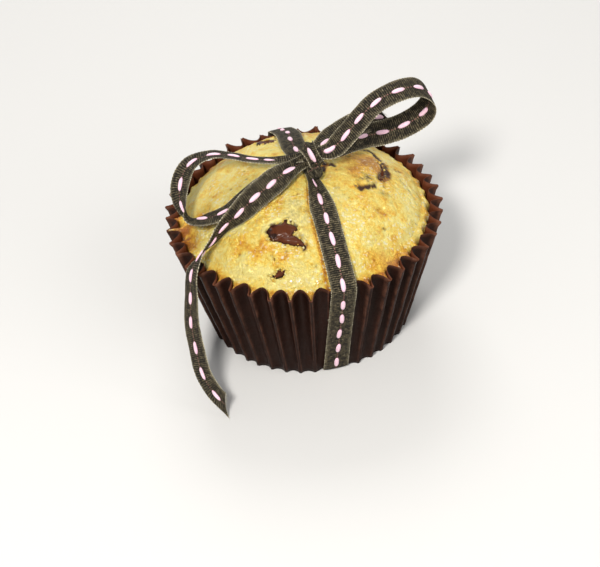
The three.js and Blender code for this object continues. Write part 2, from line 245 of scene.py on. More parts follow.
def fan(centre: int, ring: Array) -> Array:
    """Triangles from one point to a closed ring of points."""
    return together(centre, ring, np.roll(ring, -1))


def capped_faces(rows: int, columns: int, turned: bool = False) -> list[Array]:
    """Faces of a grid whose rows close on themselves, and of a point beyond each end.

    Args:
        rows: Number of rows.
        columns: Number of points to a row.
        turned: Whether the faces look the other way.

    Returns:
        Quads and triangles; the two end points come after the grid's.
    """
    count, ring = rows * columns, np.arange(columns)
    faces = [grid_faces(rows, columns), fan(count, ring)[:, ::-1], fan(count + 1, count - columns + ring)]
    return [f[:, ::-1] for f in faces] if turned else faces


def grid_normals(grid: Array) -> Array:
    """Unit normals of a grid of points whose rows close on themselves, by columns then rows."""
    return unit(np.cross(np.roll(grid, -1, axis=1) - np.roll(grid, 1, axis=1), np.gradient(grid, axis=0)))


@dataclass
class Shell:
    """Points and faces that grow into one mesh, with numbers that the finish reads at each point."""

    points: list[Array] = field(default_factory=list)
    faces: list[Array] = field(default_factory=list)
    marks: dict[str, list[Array]] = field(default_factory=dict)
    count: int = 0

    def add(self, points: Array, faces: list[Array], **marks: Array) -> None:
        """Adds points, and faces that count from the first of them.

        Args:
            points: In millimetres.
            faces: Arrays of triangles and quads.
            **marks: One number, or three, for each point.
        """
        self.points.append(points.reshape(-1, 3))
        self.faces += [f + self.count for f in faces]
        for name, values in marks.items():
            self.marks.setdefault(name, []).append(values)
        self.count += len(self.points[-1])

    def piece(self, name: str, material: Material, slot: str, *nodes: str) -> Piece:
        """Makes the object.

        Args:
            name: Name of the piece.
            material: Its finish.
            slot: Not used.
            *nodes: The solids that it stands for.

        Returns:
            The object, riding on the body.
        """
        mesh = bpy.data.meshes.new(name)
        points = np.concatenate(self.points) * MM
        corners = np.concatenate([f.ravel() for f in self.faces]).astype(np.int32)
        sizes = np.concatenate([np.full(len(f), f.shape[1]) for f in self.faces])
        mesh.vertices.add(len(points))
        mesh.vertices.foreach_set("co", points.astype(np.float32).ravel())
        mesh.loops.add(len(corners))
        mesh.loops.foreach_set("vertex_index", corners)
        mesh.polygons.add(len(sizes))
        mesh.polygons.foreach_set("loop_start", np.r_[0, np.cumsum(sizes)[:-1]].astype(np.int32))
        mesh.polygons.foreach_set("use_smooth", np.ones(len(sizes), bool))
        for mark, parts in self.marks.items():
            values = np.concatenate(parts).astype(np.float32)
            kind, key = ("FLOAT", "value") if values.ndim == 1 else ("FLOAT_VECTOR", "vector")
            mesh.attributes.new(mark, kind, "POINT").data.foreach_set(key, values.ravel())
        mesh.update(calc_edges=True)
        mesh.validate()
        mesh.materials.append(material)
        piece = bpy.data.objects.new(name, mesh)
        bpy.context.scene.collection.objects.link(piece)
        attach(piece, "root")
        if nodes:
            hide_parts(*nodes)
        LOG.info("%s: %d points, %d faces", name, len(points), len(sizes))
        return piece


# Finishes


@dataclass
class Wiring:
    """Short calls that place and join shader nodes."""

    tree: NodeTree

    def add(self, kind: str, inputs: dict[Any, Any], **settings: Any) -> bpy.types.Node:
        """Places a node.

        Args:
            kind: Its type, without the words that every shader node's type starts with.
            inputs: A value, or a socket to join, for each input's name or number.
            **settings: The node's own settings.

        Returns:
            The node.
        """
        node = self.tree.nodes.new("ShaderNode" + kind)
        for name, value in settings.items():
            setattr(node, name, value)
        for socket, value in inputs.items():
            if isinstance(value, Socket):
                self.tree.links.new(value, node.inputs[socket])
            else:
                node.inputs[socket].default_value = value
        return node

    def math(self, operation: str, first: Any, second: Any = 0.0, clamp: bool = False) -> Socket:
        """The result of a sum on two values."""
        return self.add("Math", {0: first, 1: second}, operation=operation, use_clamp=clamp).outputs[0]

    def plus(self, first: Any, second: Any, clamp: bool = False) -> Socket:
        """Two values together."""
        return self.math("ADD", first, second, clamp)

    def minus(self, first: Any, second: Any) -> Socket:
        """One value less another."""
        return self.math("SUBTRACT", first, second)

    def times(self, first: Any, second: Any, clamp: bool = False) -> Socket:
        """One value times another."""
        return self.math("MULTIPLY", first, second, clamp)

    def above(self, value: Any, low: float, gain: float) -> Socket:
        """0 up to the low value, and from there up to 1 at the gain's rate."""
        return self.times(self.minus(value, low), gain, clamp=True)

    def mix(self, factor: Any, first: Any, second: Any) -> Socket:
        """One colour turning into another."""
        return self.add("Mix", {0: factor, 6: first, 7: second}, data_type="RGBA").outputs[2]

    def ramp(self, factor: Any, stops: list[tuple[float, Colour]]) -> Socket:
        """A colour that follows a value through stops.

        Args:
            factor: The value, from 0 to 1.
            stops: Each a place from 0 to 1 and a colour.

        Returns:
            The colour.
        """
        node = self.add("ValToRGB", {0: factor})
        elements = node.color_ramp.elements
        while len(elements) < len(stops):
            elements.new(0.5)
        for element, (place, colour) in zip(elements, stops):
            element.position, element.color = place, colour
        return node.outputs[0]

    def place(self) -> Socket:
        """The place on the object, in metres."""
        return self.add("TexCoord", {}).outputs["Object"]

    def noise(self, scale: Any, detail: float = 2.0) -> Socket:
        """Noise from 0 to 1, with so many lumps to a metre."""
        return self.add("TexNoise", {"Vector": self.place(), "Scale": scale, "Detail": detail}).outputs[0]

    def mark(self, name: str, output: str = "Fac") -> Socket:
        """What the mesh keeps at each point under a name, as one number or as a Vector."""
        return self.add("Attribute", {}, attribute_name=name).outputs[output]

    def weave(self) -> list[Socket]:
        """Millimetres along and across the thread or ribbon."""
        return list(self.add("SeparateXYZ", {0: self.mark("weave", "Vector")}).outputs)[:2]

    def bump(self, height: Socket, depth: float) -> Socket:
        """A normal from a height of 0 to 1, over a depth in millimetres."""
        return self.add("Bump", {"Height": height, "Distance": depth * MM, "Strength": 1.0}).outputs[0]


@dataclass(frozen=True)
class Effect:
    """A shader effect that several finishes share: a node group with named inputs, built once."""

    name: str
    inputs: dict[str, str]
    output: str
    kind: str
    wire: Callable[..., Socket]

    def tree(self) -> NodeTree:
        """Finds the node group, or builds it the first time.

        Returns:
            The group.
        """
        if self.name not in bpy.data.node_groups:
            tree = bpy.data.node_groups.new(self.name, "ShaderNodeTree")
            for name, kind in self.inputs.items():
                tree.interface.new_socket(name, in_out="INPUT", socket_type="NodeSocket" + kind)
            tree.interface.new_socket(self.output, in_out="OUTPUT", socket_type="NodeSocket" + self.kind)
            given = tree.nodes.new("NodeGroupInput").outputs
            result = tree.nodes.new("NodeGroupOutput").inputs[0]
            tree.links.new(self.wire(Wiring(tree), *(given[name] for name in self.inputs)), result)
        return bpy.data.node_groups[self.name]

    def on(self, w: Wiring, **values: Any) -> Socket:
        """The effect's result in a finish, with a value or a socket for each input."""
        return w.add("Group", values, node_tree=self.tree()).outputs[0]


def wire_grain(w: Wiring, scale: Socket, contrast: Socket) -> Socket:
    """Two sizes of noise together, about a half."""
    both = w.plus(w.noise(scale, 3.0), w.noise(w.times(scale, 3.7), 1.0))
    return w.plus(w.times(w.minus(both, 1.0), contrast), 0.5, clamp=True)


def wire_wear_and_painted_light(w: Wiring, base: Socket, edged: Socket, edge: Socket, amount: Socket, scale: Socket) -> Socket:
    """A broken line of another colour along edges and fold lines: wear on some finishes, painted highlight or
    painted shade on others.
    """
    return w.mix(w.times(w.times(edge, amount), w.above(w.noise(scale), 0.28, 2.6), clamp=True), base, edged)


def wire_ribs(w: Wiring, along: Socket, pitch: Socket, stray: Socket) -> Socket:
    """Rounded ridges across one direction, each a bit uneven.

    Args:
        w: Wiring of the group's tree.
        along: Millimetres across the ridges.
        pitch: Distance from ridge to ridge.
        stray: How far they wander.

    Returns:
        Their height, from 0 to 1.
    """
    wander = w.times(w.minus(w.noise(900.0, 1.0), 0.5), stray)
    phase = w.plus(w.times(w.math("DIVIDE", along, pitch), TURN), wander)
    return w.plus(w.times(w.math("SINE", phase), 0.5), 0.5)


GRAIN = Effect("Grain", dict.fromkeys(("Scale", "Contrast"), "Float"), "Value", "Float", wire_grain)
# Lays real wear on some finishes, and painted highlight or painted shade on others.
WEAR_AND_PAINTED_LIGHT = Effect(
    "Worn edge",
    {"Base": "Color", "Worn": "Color", "Edge": "Float", "Amount": "Float", "Scale": "Float"},
    "Color",
    "Color",
    wire_wear_and_painted_light,
)
RIBS = Effect("Ribs", dict.fromkeys(("Along", "Pitch", "Unevenness"), "Float"), "Height", "Float", wire_ribs)


@dataclass(frozen=True)
class Finish:
    """What every finish has: a name, and the plain values of the shader's own sockets."""

    name: str
    sockets: dict[str, Any] = field(default_factory=dict)

    def material(self) -> Material:
        """Makes the material.

        Returns:
            A material whose colour, roughness and bump come from nodes.
        """
        material = bpy.data.materials.new(self.name)
        material.use_nodes = True
        surface = material.node_tree.nodes["Principled BSDF"]
        for socket, value in self.sockets.items():
            surface.inputs[socket].default_value = value
        wiring = Wiring(material.node_tree)
        for socket, source in self.looks(wiring).items():
            wiring.tree.links.new(source, surface.inputs[socket])
        return material

    def looks(self, w: Wiring) -> dict[str, Socket]:
        """Builds the nodes.

        Args:
            w: Wiring of the material's tree.

        Returns:
            The source of each of the shader's sockets that changes over the surface.
        """
        raise NotImplementedError


@dataclass(frozen=True)
class CrustFinish(Finish):
    """Pale golden crust that browns where it stood out or touched the paper, with small glossy blisters,
    painted white glints on oily specks, and painted shade in its holes and cracks.
    """

    pale: Colour = srgb(253, 233, 142)
    yellow: Colour = srgb(251, 215, 92)
    golden: Colour = srgb(236, 172, 48)
    brown: Colour = srgb(184, 108, 34)
    # Dark colour for real stains and chocolate, and for painted shade in sunk holes and cracks.
    stain_and_shade: Colour = srgb(62, 34, 24)
    damp: Colour = srgb(230, 214, 126)
    # Painted glint: near-white colour put on the oily specks.
    painted_glint: Colour = srgb(255, 250, 226)
    mottle_share: float = 0.3
    speckle_share: float = 0.32
    painted_glint_share: float = 0.75
    relief: float = 0.68

    def looks(self, w: Wiring) -> dict[str, Socket]:
        """Builds the crust's nodes.

        Args:
            w: Wiring of the material's tree.

        Returns:
            The source of each socket.
        """
        mottle, speckle = GRAIN.on(w, Scale=360.0, Contrast=1.5), GRAIN.on(w, Scale=1250.0, Contrast=2.2)
        bake = w.plus(w.mark("browning"), w.times(w.minus(mottle, 0.5), self.mottle_share))
        bake = w.plus(bake, w.times(w.minus(speckle, 0.5), self.speckle_share), clamp=True)
        colour = w.ramp(bake, [(0.0, self.pale), (0.3, self.yellow), (0.62, self.golden), (1.0, self.brown)])
        colour = w.mix(w.times(w.above(w.noise(110.0, 1.0), 0.5, 2.4), 0.5), colour, self.damp)
        # Oily specks: a real glossy coat, and a painted glint in the colour.
        oil_and_painted_glint = w.times(w.above(w.noise(150.0), 0.42, 5.0), w.above(w.noise(1350.0, 1.0), 0.57, 9.0))
        colour = w.mix(w.times(oil_and_painted_glint, self.painted_glint_share), colour, self.painted_glint)
        blisters = w.add("TexVoronoi", {"Vector": w.place(), "Scale": 900.0}, feature="SMOOTH_F1").outputs[0]
        fine = w.plus(w.times(blisters, -0.5), w.times(speckle, 0.8))
        return {
            "Base Color": w.mix(w.mark("stain_and_shade"), colour, self.stain_and_shade),
            "Roughness": w.plus(w.times(w.noise(700.0), 0.5), 0.24),
            "Normal": w.bump(fine, self.relief),
            "Coat Weight": w.times(oil_and_painted_glint, 0.5),
        }


@dataclass(frozen=True)
class PaperFinish(Finish):
    """Dark brown baking paper, a little waxy, paler along its folds and cut edge, partly as painted highlight
    on the seams and fold tips, and with a painted lit colour on its inside.
    """

    paper: Colour = srgb(25, 10, 6)
    thin: Colour = srgb(46, 22, 14)
    # Paler colour of folds and the cut edge, also the painted highlight at the fold tips.
    crease: Colour = srgb(112, 72, 55)
    # Painted light: a lighter brown for the lit inside face of the case.
    inside: Colour = srgb(84, 42, 24)

    def looks(self, w: Wiring) -> dict[str, Socket]:
        """Builds the paper's nodes.

        Args:
            w: Wiring of the material's tree.

        Returns:
            The source of each socket.
        """
        fibres = GRAIN.on(w, Scale=900.0, Contrast=1.2)
        base = w.mix(w.times(fibres, w.above(w.noise(160.0), 0.4, 1.8)), self.paper, self.thin)
        # Painted light: the lining side takes the lighter inside colour.
        base = w.mix(w.times(w.mark("lining"), 0.8), base, self.inside)
        edged = WEAR_AND_PAINTED_LIGHT.on(w, Base=base, Worn=self.crease, Edge=w.mark("crease"), Amount=0.85, Scale=420.0)
        rough = w.plus(w.times(fibres, 0.25), 0.38)
        return {"Base Color": edged, "Roughness": rough, "Normal": w.bump(fibres, 0.05)}


@dataclass(frozen=True)
class RibbonFinish(Finish):
    """Dark ribbed ribbon with a thin dotted thread between the stitches; the rib tops are painted lighter and
    the valleys darker as light and shade, with painted glints on raised threads and paler worn edges.
    """

    # Painted shade in the valleys and painted highlight on the rib tops.
    painted_valley_shade: Colour = srgb(14, 12, 9)
    painted_rib_highlight: Colour = srgb(128, 115, 86)
    # Colour of the painted glints on raised threads, and of the worn edges.
    glint_and_wear: Colour = srgb(176, 164, 132)
    thread: Colour = srgb(150, 104, 96)
    rib_pitch: float = 0.6
    warp_pitch: float = 0.36
    dot_pitch: float = 0.9
    thread_half_width: float = 0.16

    def looks(self, w: Wiring) -> dict[str, Socket]:
        """Builds the ribbon's nodes.

        Args:
            w: Wiring of the material's tree.

        Returns:
            The source of each socket.
        """
        along, across = w.weave()
        ribs = RIBS.on(w, Along=along, Pitch=self.rib_pitch, Unevenness=4.0)
        warp = RIBS.on(w, Along=across, Pitch=self.warp_pitch, Unevenness=9.0)
        height = w.plus(w.times(ribs, 0.6), w.times(warp, 0.4))
        cloud = w.above(w.noise(1000.0), 0.4, 4.0)
        # Painted light and shade: rib tops lightened, valleys darkened.
        rib_light_mask = w.times(w.math("POWER", height, 2.2), w.plus(w.times(cloud, 0.7), 0.18))
        # Painted glints on the raised threads.
        glint_flecks = w.times(w.above(w.noise(1500.0, 1.0), 0.58, 7.0), rib_light_mask)
        colour = w.mix(w.times(glint_flecks, 0.8), w.mix(rib_light_mask, self.painted_valley_shade, self.painted_rib_highlight), self.glint_and_wear)
        middle = w.math("LESS_THAN", w.math("ABSOLUTE", across), self.thread_half_width)
        dots = w.math("GREATER_THAN", w.math("SINE", w.times(along, TURN / self.dot_pitch)), 0.0)
        colour = w.mix(w.times(w.times(middle, dots), 0.6), colour, self.thread)
        # Paler worn edges.
        edged = WEAR_AND_PAINTED_LIGHT.on(w, Base=colour, Worn=self.glint_and_wear, Edge=w.mark("edge"), Amount=0.35, Scale=1300.0)
        rough = w.minus(0.95, w.times(height, 0.3))
        return {"Base Color": edged, "Roughness": rough, "Normal": w.bump(height, 0.15)}


@dataclass(frozen=True)
class ThreadFinish(Finish):
    """Twisted thread, for the stitches and the edges of the ribbon, with painted shade in the grooves between
    strands and where the edge mark is high.
    """

    light: Colour = srgb(240, 203, 215)
    shade: Colour = srgb(212, 140, 168)
    strand: float = 0.3
    turn: float = 0.12
    contrast: float = 0.3

    def looks(self, w: Wiring) -> dict[str, Socket]:
        """Builds the thread's nodes.

        Args:
            w: Wiring of the material's tree.

        Returns:
            The source of each socket.
        """
        along, across = w.weave()
        twist = w.plus(w.times(along, self.turn), across)
        strands = RIBS.on(w, Along=twist, Pitch=self.strand, Unevenness=2.5)
        # Painted shade where the edge mark is high.
        edged = WEAR_AND_PAINTED_LIGHT.on(w, Base=self.light, Worn=self.shade, Edge=w.mark("edge"), Amount=1.0, Scale=900.0)
        # Painted shade in the grooves between strands.
        colour = w.mix(w.times(w.minus(1.0, strands), self.contrast), edged, self.shade)
        rough = w.plus(w.times(strands, -0.15), 0.62)
        return {"Base Color": colour, "Roughness": rough, "Normal": w.bump(strands, 0.06)}


@dataclass(frozen=True)
class ChocolateFinish(Finish):
    """Chocolate that melted and set again: smooth and glossy, darker along its outline and in a few listed
    patches.
    """

    milk: Colour = srgb(76, 35, 14)
    # Dark tone for the outline, the listed patches and the grain.
    baked: Colour = srgb(34, 16, 11)

    def looks(self, w: Wiring) -> dict[str, Socket]:
        """Builds the chocolate's nodes.

        Args:
            w: Wiring of the material's tree.

        Returns:
            The source of each socket.
        """
        grain = GRAIN.on(w, Scale=520.0, Contrast=1.3)
        edged = WEAR_AND_PAINTED_LIGHT.on(w, Base=self.milk, Worn=self.baked, Edge=w.mark("edge"), Amount=1.6, Scale=700.0)
        rough = w.plus(w.times(grain, 0.3), 0.34)
        colour = w.mix(w.times(grain, 0.2), edged, self.baked)
        return {"Base Color": colour, "Roughness": rough, "Normal": w.bump(grain, 0.05)}


@dataclass(frozen=True)
class FloorFinish(Finish):
    """Plain pale floor with a faint unevenness."""

    pale: Colour = srgb(198, 196, 192)
    dull: Colour = srgb(187, 185, 181)

    def looks(self, w: Wiring) -> dict[str, Socket]:
        """Builds the floor's nodes, and returns the source of each socket."""
        grain = w.times(GRAIN.on(w, Scale=6.0, Contrast=0.5), 0.05)
        return {"Base Color": w.mix(grain, self.pale, self.dull)}


# Forms that several pieces follow


@dataclass(frozen=True)
class Wall:
    """The case's wall at some places: arrays of one length."""

    angle: Array
    trough: Array
    outer: Array
    swing: Array
    pressed: Array
    lining: Array


@dataclass(frozen=True)
class FlutedCase:
    """The pleated cone of the paper case, and where the ribbon presses on it."""

    flutes: int = 44
    height: float = 36.0
    ridge_rim: float = 39.0
    ridge_base: float = 29.5
    depth_rim: float = 3.4
    depth_base: float = 1.0
    trough_rise: float = 0.6
    drift: float = 0.07
    depth_unevenness: float = 0.1
    solid_paper: float = 0.35
    pinch: float = 0.66
    ridge_flat: float = 0.26
    band_heading: float = math.radians(-79)
    band_shift: float = 2.0
    press_front: float = 0.95
    press_back: float = 0.55
    press_half_width: float = 5.5
    groove_width: float = 7.8
    groove_height: float = 0.75

    @property
    def along_band(self) -> Array:
        """Direction of the band, seen from above."""
        return np.array([math.cos(self.band_heading), math.sin(self.band_heading)])

    @property
    def across_band(self) -> Array:
        """Direction across the band, seen from above."""
        return np.array([-math.sin(self.band_heading), math.cos(self.band_heading)])

    def shift_at(self, z: Array) -> Array:
        """How far the band lies to the side of the middle at a height."""
        return self.band_shift * np.clip(z / self.height, 0, 1)

    def along(self, x: Array, y: Array) -> Array:
        """Distance from the middle in the band's direction."""
        return x * self.along_band[0] + y * self.along_band[1]

    def across(self, x: Array, y: Array, z: Array) -> Array:
        """Distance from the band's middle line."""
        return x * self.across_band[0] + y * self.across_band[1] - self.shift_at(z)

    def spots(self, along: Array, beside: Array) -> tuple[Array, Array]:
        """Places seen from above, by distances in the band's direction and to its side."""
        return tuple(along * self.along_band[axis] + beside * self.across_band[axis] for axis in (0, 1))

    def wall(self, flute: Array, z: Array) -> Wall:
        """The wall at flute coordinates, whole numbers at the ridges, and heights.

        Args:
            flute: Places round the case.
            z: Heights.

        Returns:
            Direction and radii at each place.
        """
        flute, z = np.broadcast_arrays(flute, z)
        share = np.clip(z / self.height, 0, 1.04)
        ridge = np.round(flute) % self.flutes
        swing = np.abs(np.sin(math.pi * flute))
        angle = TURN * (flute + self.drift * unevenness(ridge, 1) * (1 - swing)) / self.flutes
        ridge_radius = self.ridge_base + (self.ridge_rim - self.ridge_base) * share
        depth = self.depth_base + (self.depth_rim - self.depth_base) * share
        trough = ridge_radius - depth
        x, y = ridge_radius * np.cos(angle), ridge_radius * np.sin(angle)
        press = np.where(self.along(x, y) > 0, self.press_front, self.press_back)
        pressed = press * hump(self.across(x, y, z), self.press_half_width, 4)
        depth = depth * (1 - pressed) * (1 + self.depth_unevenness * unevenness(ridge, 2))
        beyond = np.maximum(swing - self.ridge_flat, 0) / (1 - self.ridge_flat)
        slope = self.pinch * np.maximum(beyond, 0.12) ** (self.pinch - 1) * np.cos(math.pi * flute)
        slope = slope * (swing > self.ridge_flat - 0.05) / (1 - self.ridge_flat)
        steepness = depth * slope * self.flutes / (2 * ridge_radius)
        outer = trough + depth * (1 - beyond**self.pinch)
        lining = outer - self.solid_paper * np.sqrt(1 + steepness**2)
        return Wall(angle, trough, outer, swing, pressed, lining)

    def groove(self, x: Array, y: Array) -> Array:
        """Height of the shallow groove that the ribbon lies in under the base."""
        beside = np.abs(self.across(x, y, np.zeros_like(x))) - self.groove_width / 2
        return self.groove_height * (1 - smooth_step(-0.3, 0.5, beside))


@dataclass(frozen=True)
class Dome:
    """The crust's even form, before its small relief: each swell has a place, a radius and a height."""

    edge_radius: float = 34.5
    edge_height: float = 33.0
    height: float = 17.0
    plan_power: float = 2.2
    rise_power: float = 0.7
    swells: Rows = (
        (15, 2.5, 8.5, 1.1), (-5, -27, 7, 0.5), (-17, 10, 9, 0.6), (8, 20, 8, 0.5), (25, -14, 9, 0.4),
        (-29, -4, 5, -0.5),
    )
    waves: Rows = ((0.125, 0.23, 0.19, 0.9), (0.125, 0.23, -0.19, 1.7), (0.12, 0.47, -0.61, 0))

    def top(self, x: Array, y: Array) -> Array:
        """Height of the crust.

        Args:
            x: First coordinate of each place seen from above.
            y: Second coordinate of each place.

        Returns:
            One height for each place.
        """
        share = np.clip(np.hypot(x, y) / self.edge_radius, 0, 1)
        height = self.edge_height + self.height * (1 - share**self.plan_power) ** self.rise_power
        fade = 1 - share**6
        for at_x, at_y, radius, swell in self.swells:
            height = height + swell * fade * hump(np.hypot(x - at_x, y - at_y), radius, 3)
        for wave, along_x, along_y, phase in self.waves:
            height = height + fade * wave * np.sin(along_x * x + along_y * y + phase)
        return height

    def normal(self, x: float, y: float, reach: float = 0.8) -> Array:
        """Direction straight out of the crust at one place.

        Args:
            x: First coordinate of the place.
            y: Second coordinate of the place.
            reach: How far away the heights are taken that show the slope.

        Returns:
            The direction.
        """
        slope_x = (self.top(x + reach, y) - self.top(x - reach, y)) / (2 * reach)
        slope_y = (self.top(x, y + reach) - self.top(x, y - reach)) / (2 * reach)
        return unit(np.array([-slope_x, -slope_y, 1.0]))


# Chocolate


@dataclass(frozen=True)
class Chunk:
    """One piece of chocolate: its place on the crust, and its outline in the crust's own plane."""

    node: str
    at: tuple[float, float]
    outline: Rows
    proud: float = 0.45
    depth: float = 1.1
    bed: float = 0.75
    open_above: float = -99.0
    seed: int = 1
    shades: Rows = ()
    furrows: tuple[Rows, ...] = ()
    rim_depth: float = 0.45
    rounding: float = 0.42
    furrow_depth: float = 0.42
    furrow_width: float = 0.42
    ragged: float = 0.16
    grid_step: float = 0.28

    def loop(self) -> Array:
        """Rounds the outline off and makes its edge ragged.

        Returns:
            Points of a closed line.
        """
        corners = np.array(self.outline, float)
        rows = np.vstack([corners[-2:], corners, corners[:2]])
        count = 14 * len(corners)
        first, last = 2 / (len(rows) - 1), (2 + len(corners)) / (len(rows) - 1)
        line = smooth_line(rows, np.linspace(first, last, count, endpoint=False))
        outwards = np.roll(line, -1, axis=0) - np.roll(line, 1, axis=0)
        outwards = unit(together(outwards[:, 1], -outwards[:, 0]))
        shift = self.ragged * noise(np.c_[line, np.zeros(count)], 0.9, 40 + self.seed, 2)
        return line + shift[:, None] * outwards

    def axes(self, dome: Dome) -> tuple[Array, Array, Array]:
        """Finds how the chunk lies.

        Args:
            dome: The crust's form.

        Returns:
            Directions to the right, upwards and out of the crust.
        """
        out = dome.normal(*self.at)
        right = unit(np.cross([0, 1, 0], out))
        return right, np.cross(out, right), out

    def local(self, dome: Dome, x: Array, y: Array) -> tuple[Array, Array]:
        """Finds the places in the chunk's own plane that lie under places seen from above.

        Args:
            dome: The crust's form.
            x: First coordinate of each place seen from above.
            y: Second coordinate of each place.

        Returns:
            The two coordinates in the chunk's plane.
        """
        right, up, _ = self.axes(dome)
        turn = right[0] * up[1] - right[1] * up[0]
        from_x, from_y = x - self.at[0], y - self.at[1]
        return (from_x * up[1] - from_y * up[0]) / turn, (from_y * right[0] - from_x * right[1]) / turn

    def flat_mesh(self) -> tuple[Array, Array, Array]:
        """Fills the outline with triangles.

        Returns:
            Points in the chunk's plane, triangles, and each point's distance from the outline.
        """
        loop, step = self.loop(), self.grid_step
        ring = np.vstack([loop, loop[:1]])
        (low_x, low_y), (high_x, high_y) = loop.min(0), loop.max(0)
        columns, rows = np.arange(low_x, high_x, step), np.arange(low_y, high_y, step)
        x, y = (values.ravel() for values in np.meshgrid(columns, rows))
        kept = inside(x, y, loop) & (line_distance(x, y, ring) > 0.6 * step)
        flat = np.vstack([loop, np.c_[x[kept], y[kept]]])
        edges = [(i, (i + 1) % len(loop)) for i in range(len(loop))]
        found = delaunay_2d_cdt([Vector(p) for p in flat], edges, [], 1, 1e-6)
        flat = np.array([tuple(p) for p in found[0]])
        triangles = np.array([f for f in found[2] if len(f) == 3])
        return flat, triangles, line_distance(flat[:, 0], flat[:, 1], ring)

    def build(self, dome: Dome, material: Material) -> Piece:
        """Makes a rounded slab that follows the crust.

        Args:
            dome: The crust's form.
            material: The chocolate.

        Returns:
            The piece.
        """
        flat, triangles, edge = self.flat_mesh()
        spots = np.c_[flat, np.zeros(len(flat))]
        swell = 1 - np.exp(-edge / self.rounding)
        lumps = 0.26 * noise(spots, 2.6, 50 + self.seed, 2) + 0.03 * noise(spots, 0.7, 60 + self.seed)
        for furrow in self.furrows:
            away = line_distance(flat[:, 0], flat[:, 1], np.array(furrow))
            lumps -= self.furrow_depth * hump(away, self.furrow_width)
        top = -self.rim_depth + (self.rim_depth + self.proud) * swell + lumps * swell
        inner = edge >= 1e-4
        twin = np.arange(len(flat))
        twin[inner] = len(flat) + np.arange(inner.sum())
        right, up, out = self.axes(dome)
        layers = []
        for height, chosen in ((top, np.ones(len(flat), bool)), (np.full(len(flat), -self.depth), inner)):
            place = np.array([*self.at, 0.0]) + flat[chosen, :1] * right + flat[chosen, 1:] * up
            place[:, 2] = dome.top(place[:, 0], place[:, 1])
            layers.append(place + height[chosen, None] * out)
        dark = 1 - smooth_step(0.05, 0.6, edge)
        for x, y, radius in self.shades:
            away = np.hypot(flat[:, 0] - x, flat[:, 1] - y) / radius
            away += 0.3 * noise(spots, 0.8, 80 + self.seed, 2)
            dark = np.maximum(dark, 1 - smooth_step(0.7, 1.1, away))
        shell = Shell()
        darkness = np.r_[dark, np.ones(inner.sum())]
        shell.add(np.vstack(layers), [triangles, twin[triangles][:, ::-1]], edge=darkness)
        return shell.piece("melted_" + self.node, material, "chocolate", self.node)


CHUNKS = (
    Chunk(
        "chocolate_chunk_front",
        (-5.5, -21.4),
        (
            (-5.1, 0.9), (-4.7, 1.9), (-3.6, 2.7), (-2.5, 3), (-1.5, 2.6), (-0.7, 2.6), (-0.3, 3.3),
            (0.5, 4.1), (1.3, 4.1), (0.9, 3.4), (1, 2.6), (2, 2.1), (3.2, 1.2), (4, 0.3), (2.7, -0.4),
            (2.2, -1.3), (3.3, -2.2), (4.5, -3.5), (5.1, -4.9), (3.3, -4.9), (1.2, -4.4), (-0.4, -3.7),
            (-1.8, -2.8), (-3.2, -2.1), (-4.2, -1.4), (-4.8, -0.3),
        ),
        proud=0.5,
        shades=((-4.4, 0.6, 1.3), (-3.6, -0.9, 1.2), (0.4, 3.3, 1.1), (-2.7, 2.2, 0.8), (3.8, 0.4, 0.5)),
        furrows=(
            ((-2.2, -1.7), (-0.6, -1.4), (1, -1.9), (2.2, -1.2)),
            ((-3.4, 1.8), (-2.9, 0.8), (-3.1, -1)),
        ),
    ),
    Chunk(
        "chocolate_chunk_low",
        (-8.2, -30.2),
        ((-2.3, 0.6), (-1.3, 0), (-0.3, 0.5), (0.9, 0.9), (2.1, 0.3), (1.7, -0.9), (0, -1.4), (-1.7, -0.8)),
        proud=0.36,
        bed=0.9,
        seed=2,
        shades=((-1.9, -0.1, 0.9),),
    ),
    Chunk(
        "chocolate_chunk_right",
        (21.5, 1.5),
        (
            (-0.6, 6), (1.2, 4.2), (2.2, 1.2), (2, -2.4), (0.6, -5), (-2.6, -6.2), (-6, -6.4),
            (-5.6, -5), (-2.4, -4.6), (-0.6, -3.4), (0.2, -1), (0, 2), (-0.9, 4.4),
        ),
        proud=0.05,
        bed=0.5,
        open_above=-4.2,
        seed=3,
        shades=((-4, -6, 2.6), (1.6, 3.6, 1.6)),
    ),
    Chunk(
        "chocolate_chunk_back",
        (-9, 19),
        ((-3.4, 0.4), (-1.6, 2.2), (1, 1.8), (3.2, 0.6), (2.4, -1.7), (-0.4, -2.3), (-2.8, -1.5)),
        proud=0.4,
        seed=4,
        shades=((-2.6, -0.4, 1.2),),
        furrows=(((-1.2, 1.6), (0.3, 0.1), (0.6, -1.8)),),
    ),
)


# Crumb and crust


@dataclass(frozen=True)
class Patch:
    """A round mark on the crust, by its place seen from above."""

    x: float
    y: float
    radius: float
    browning: float = 0.0
    stain_and_shade: float = 0.0
    sink: float = 0.0


@dataclass(frozen=True)
class Crease:
    """A crack, fold or scorched line on the crust, by its points seen from above."""

    line: Rows
    width: float
    browning: float = 0.0
    stain_and_shade: float = 0.0
    sink: float = 0.0
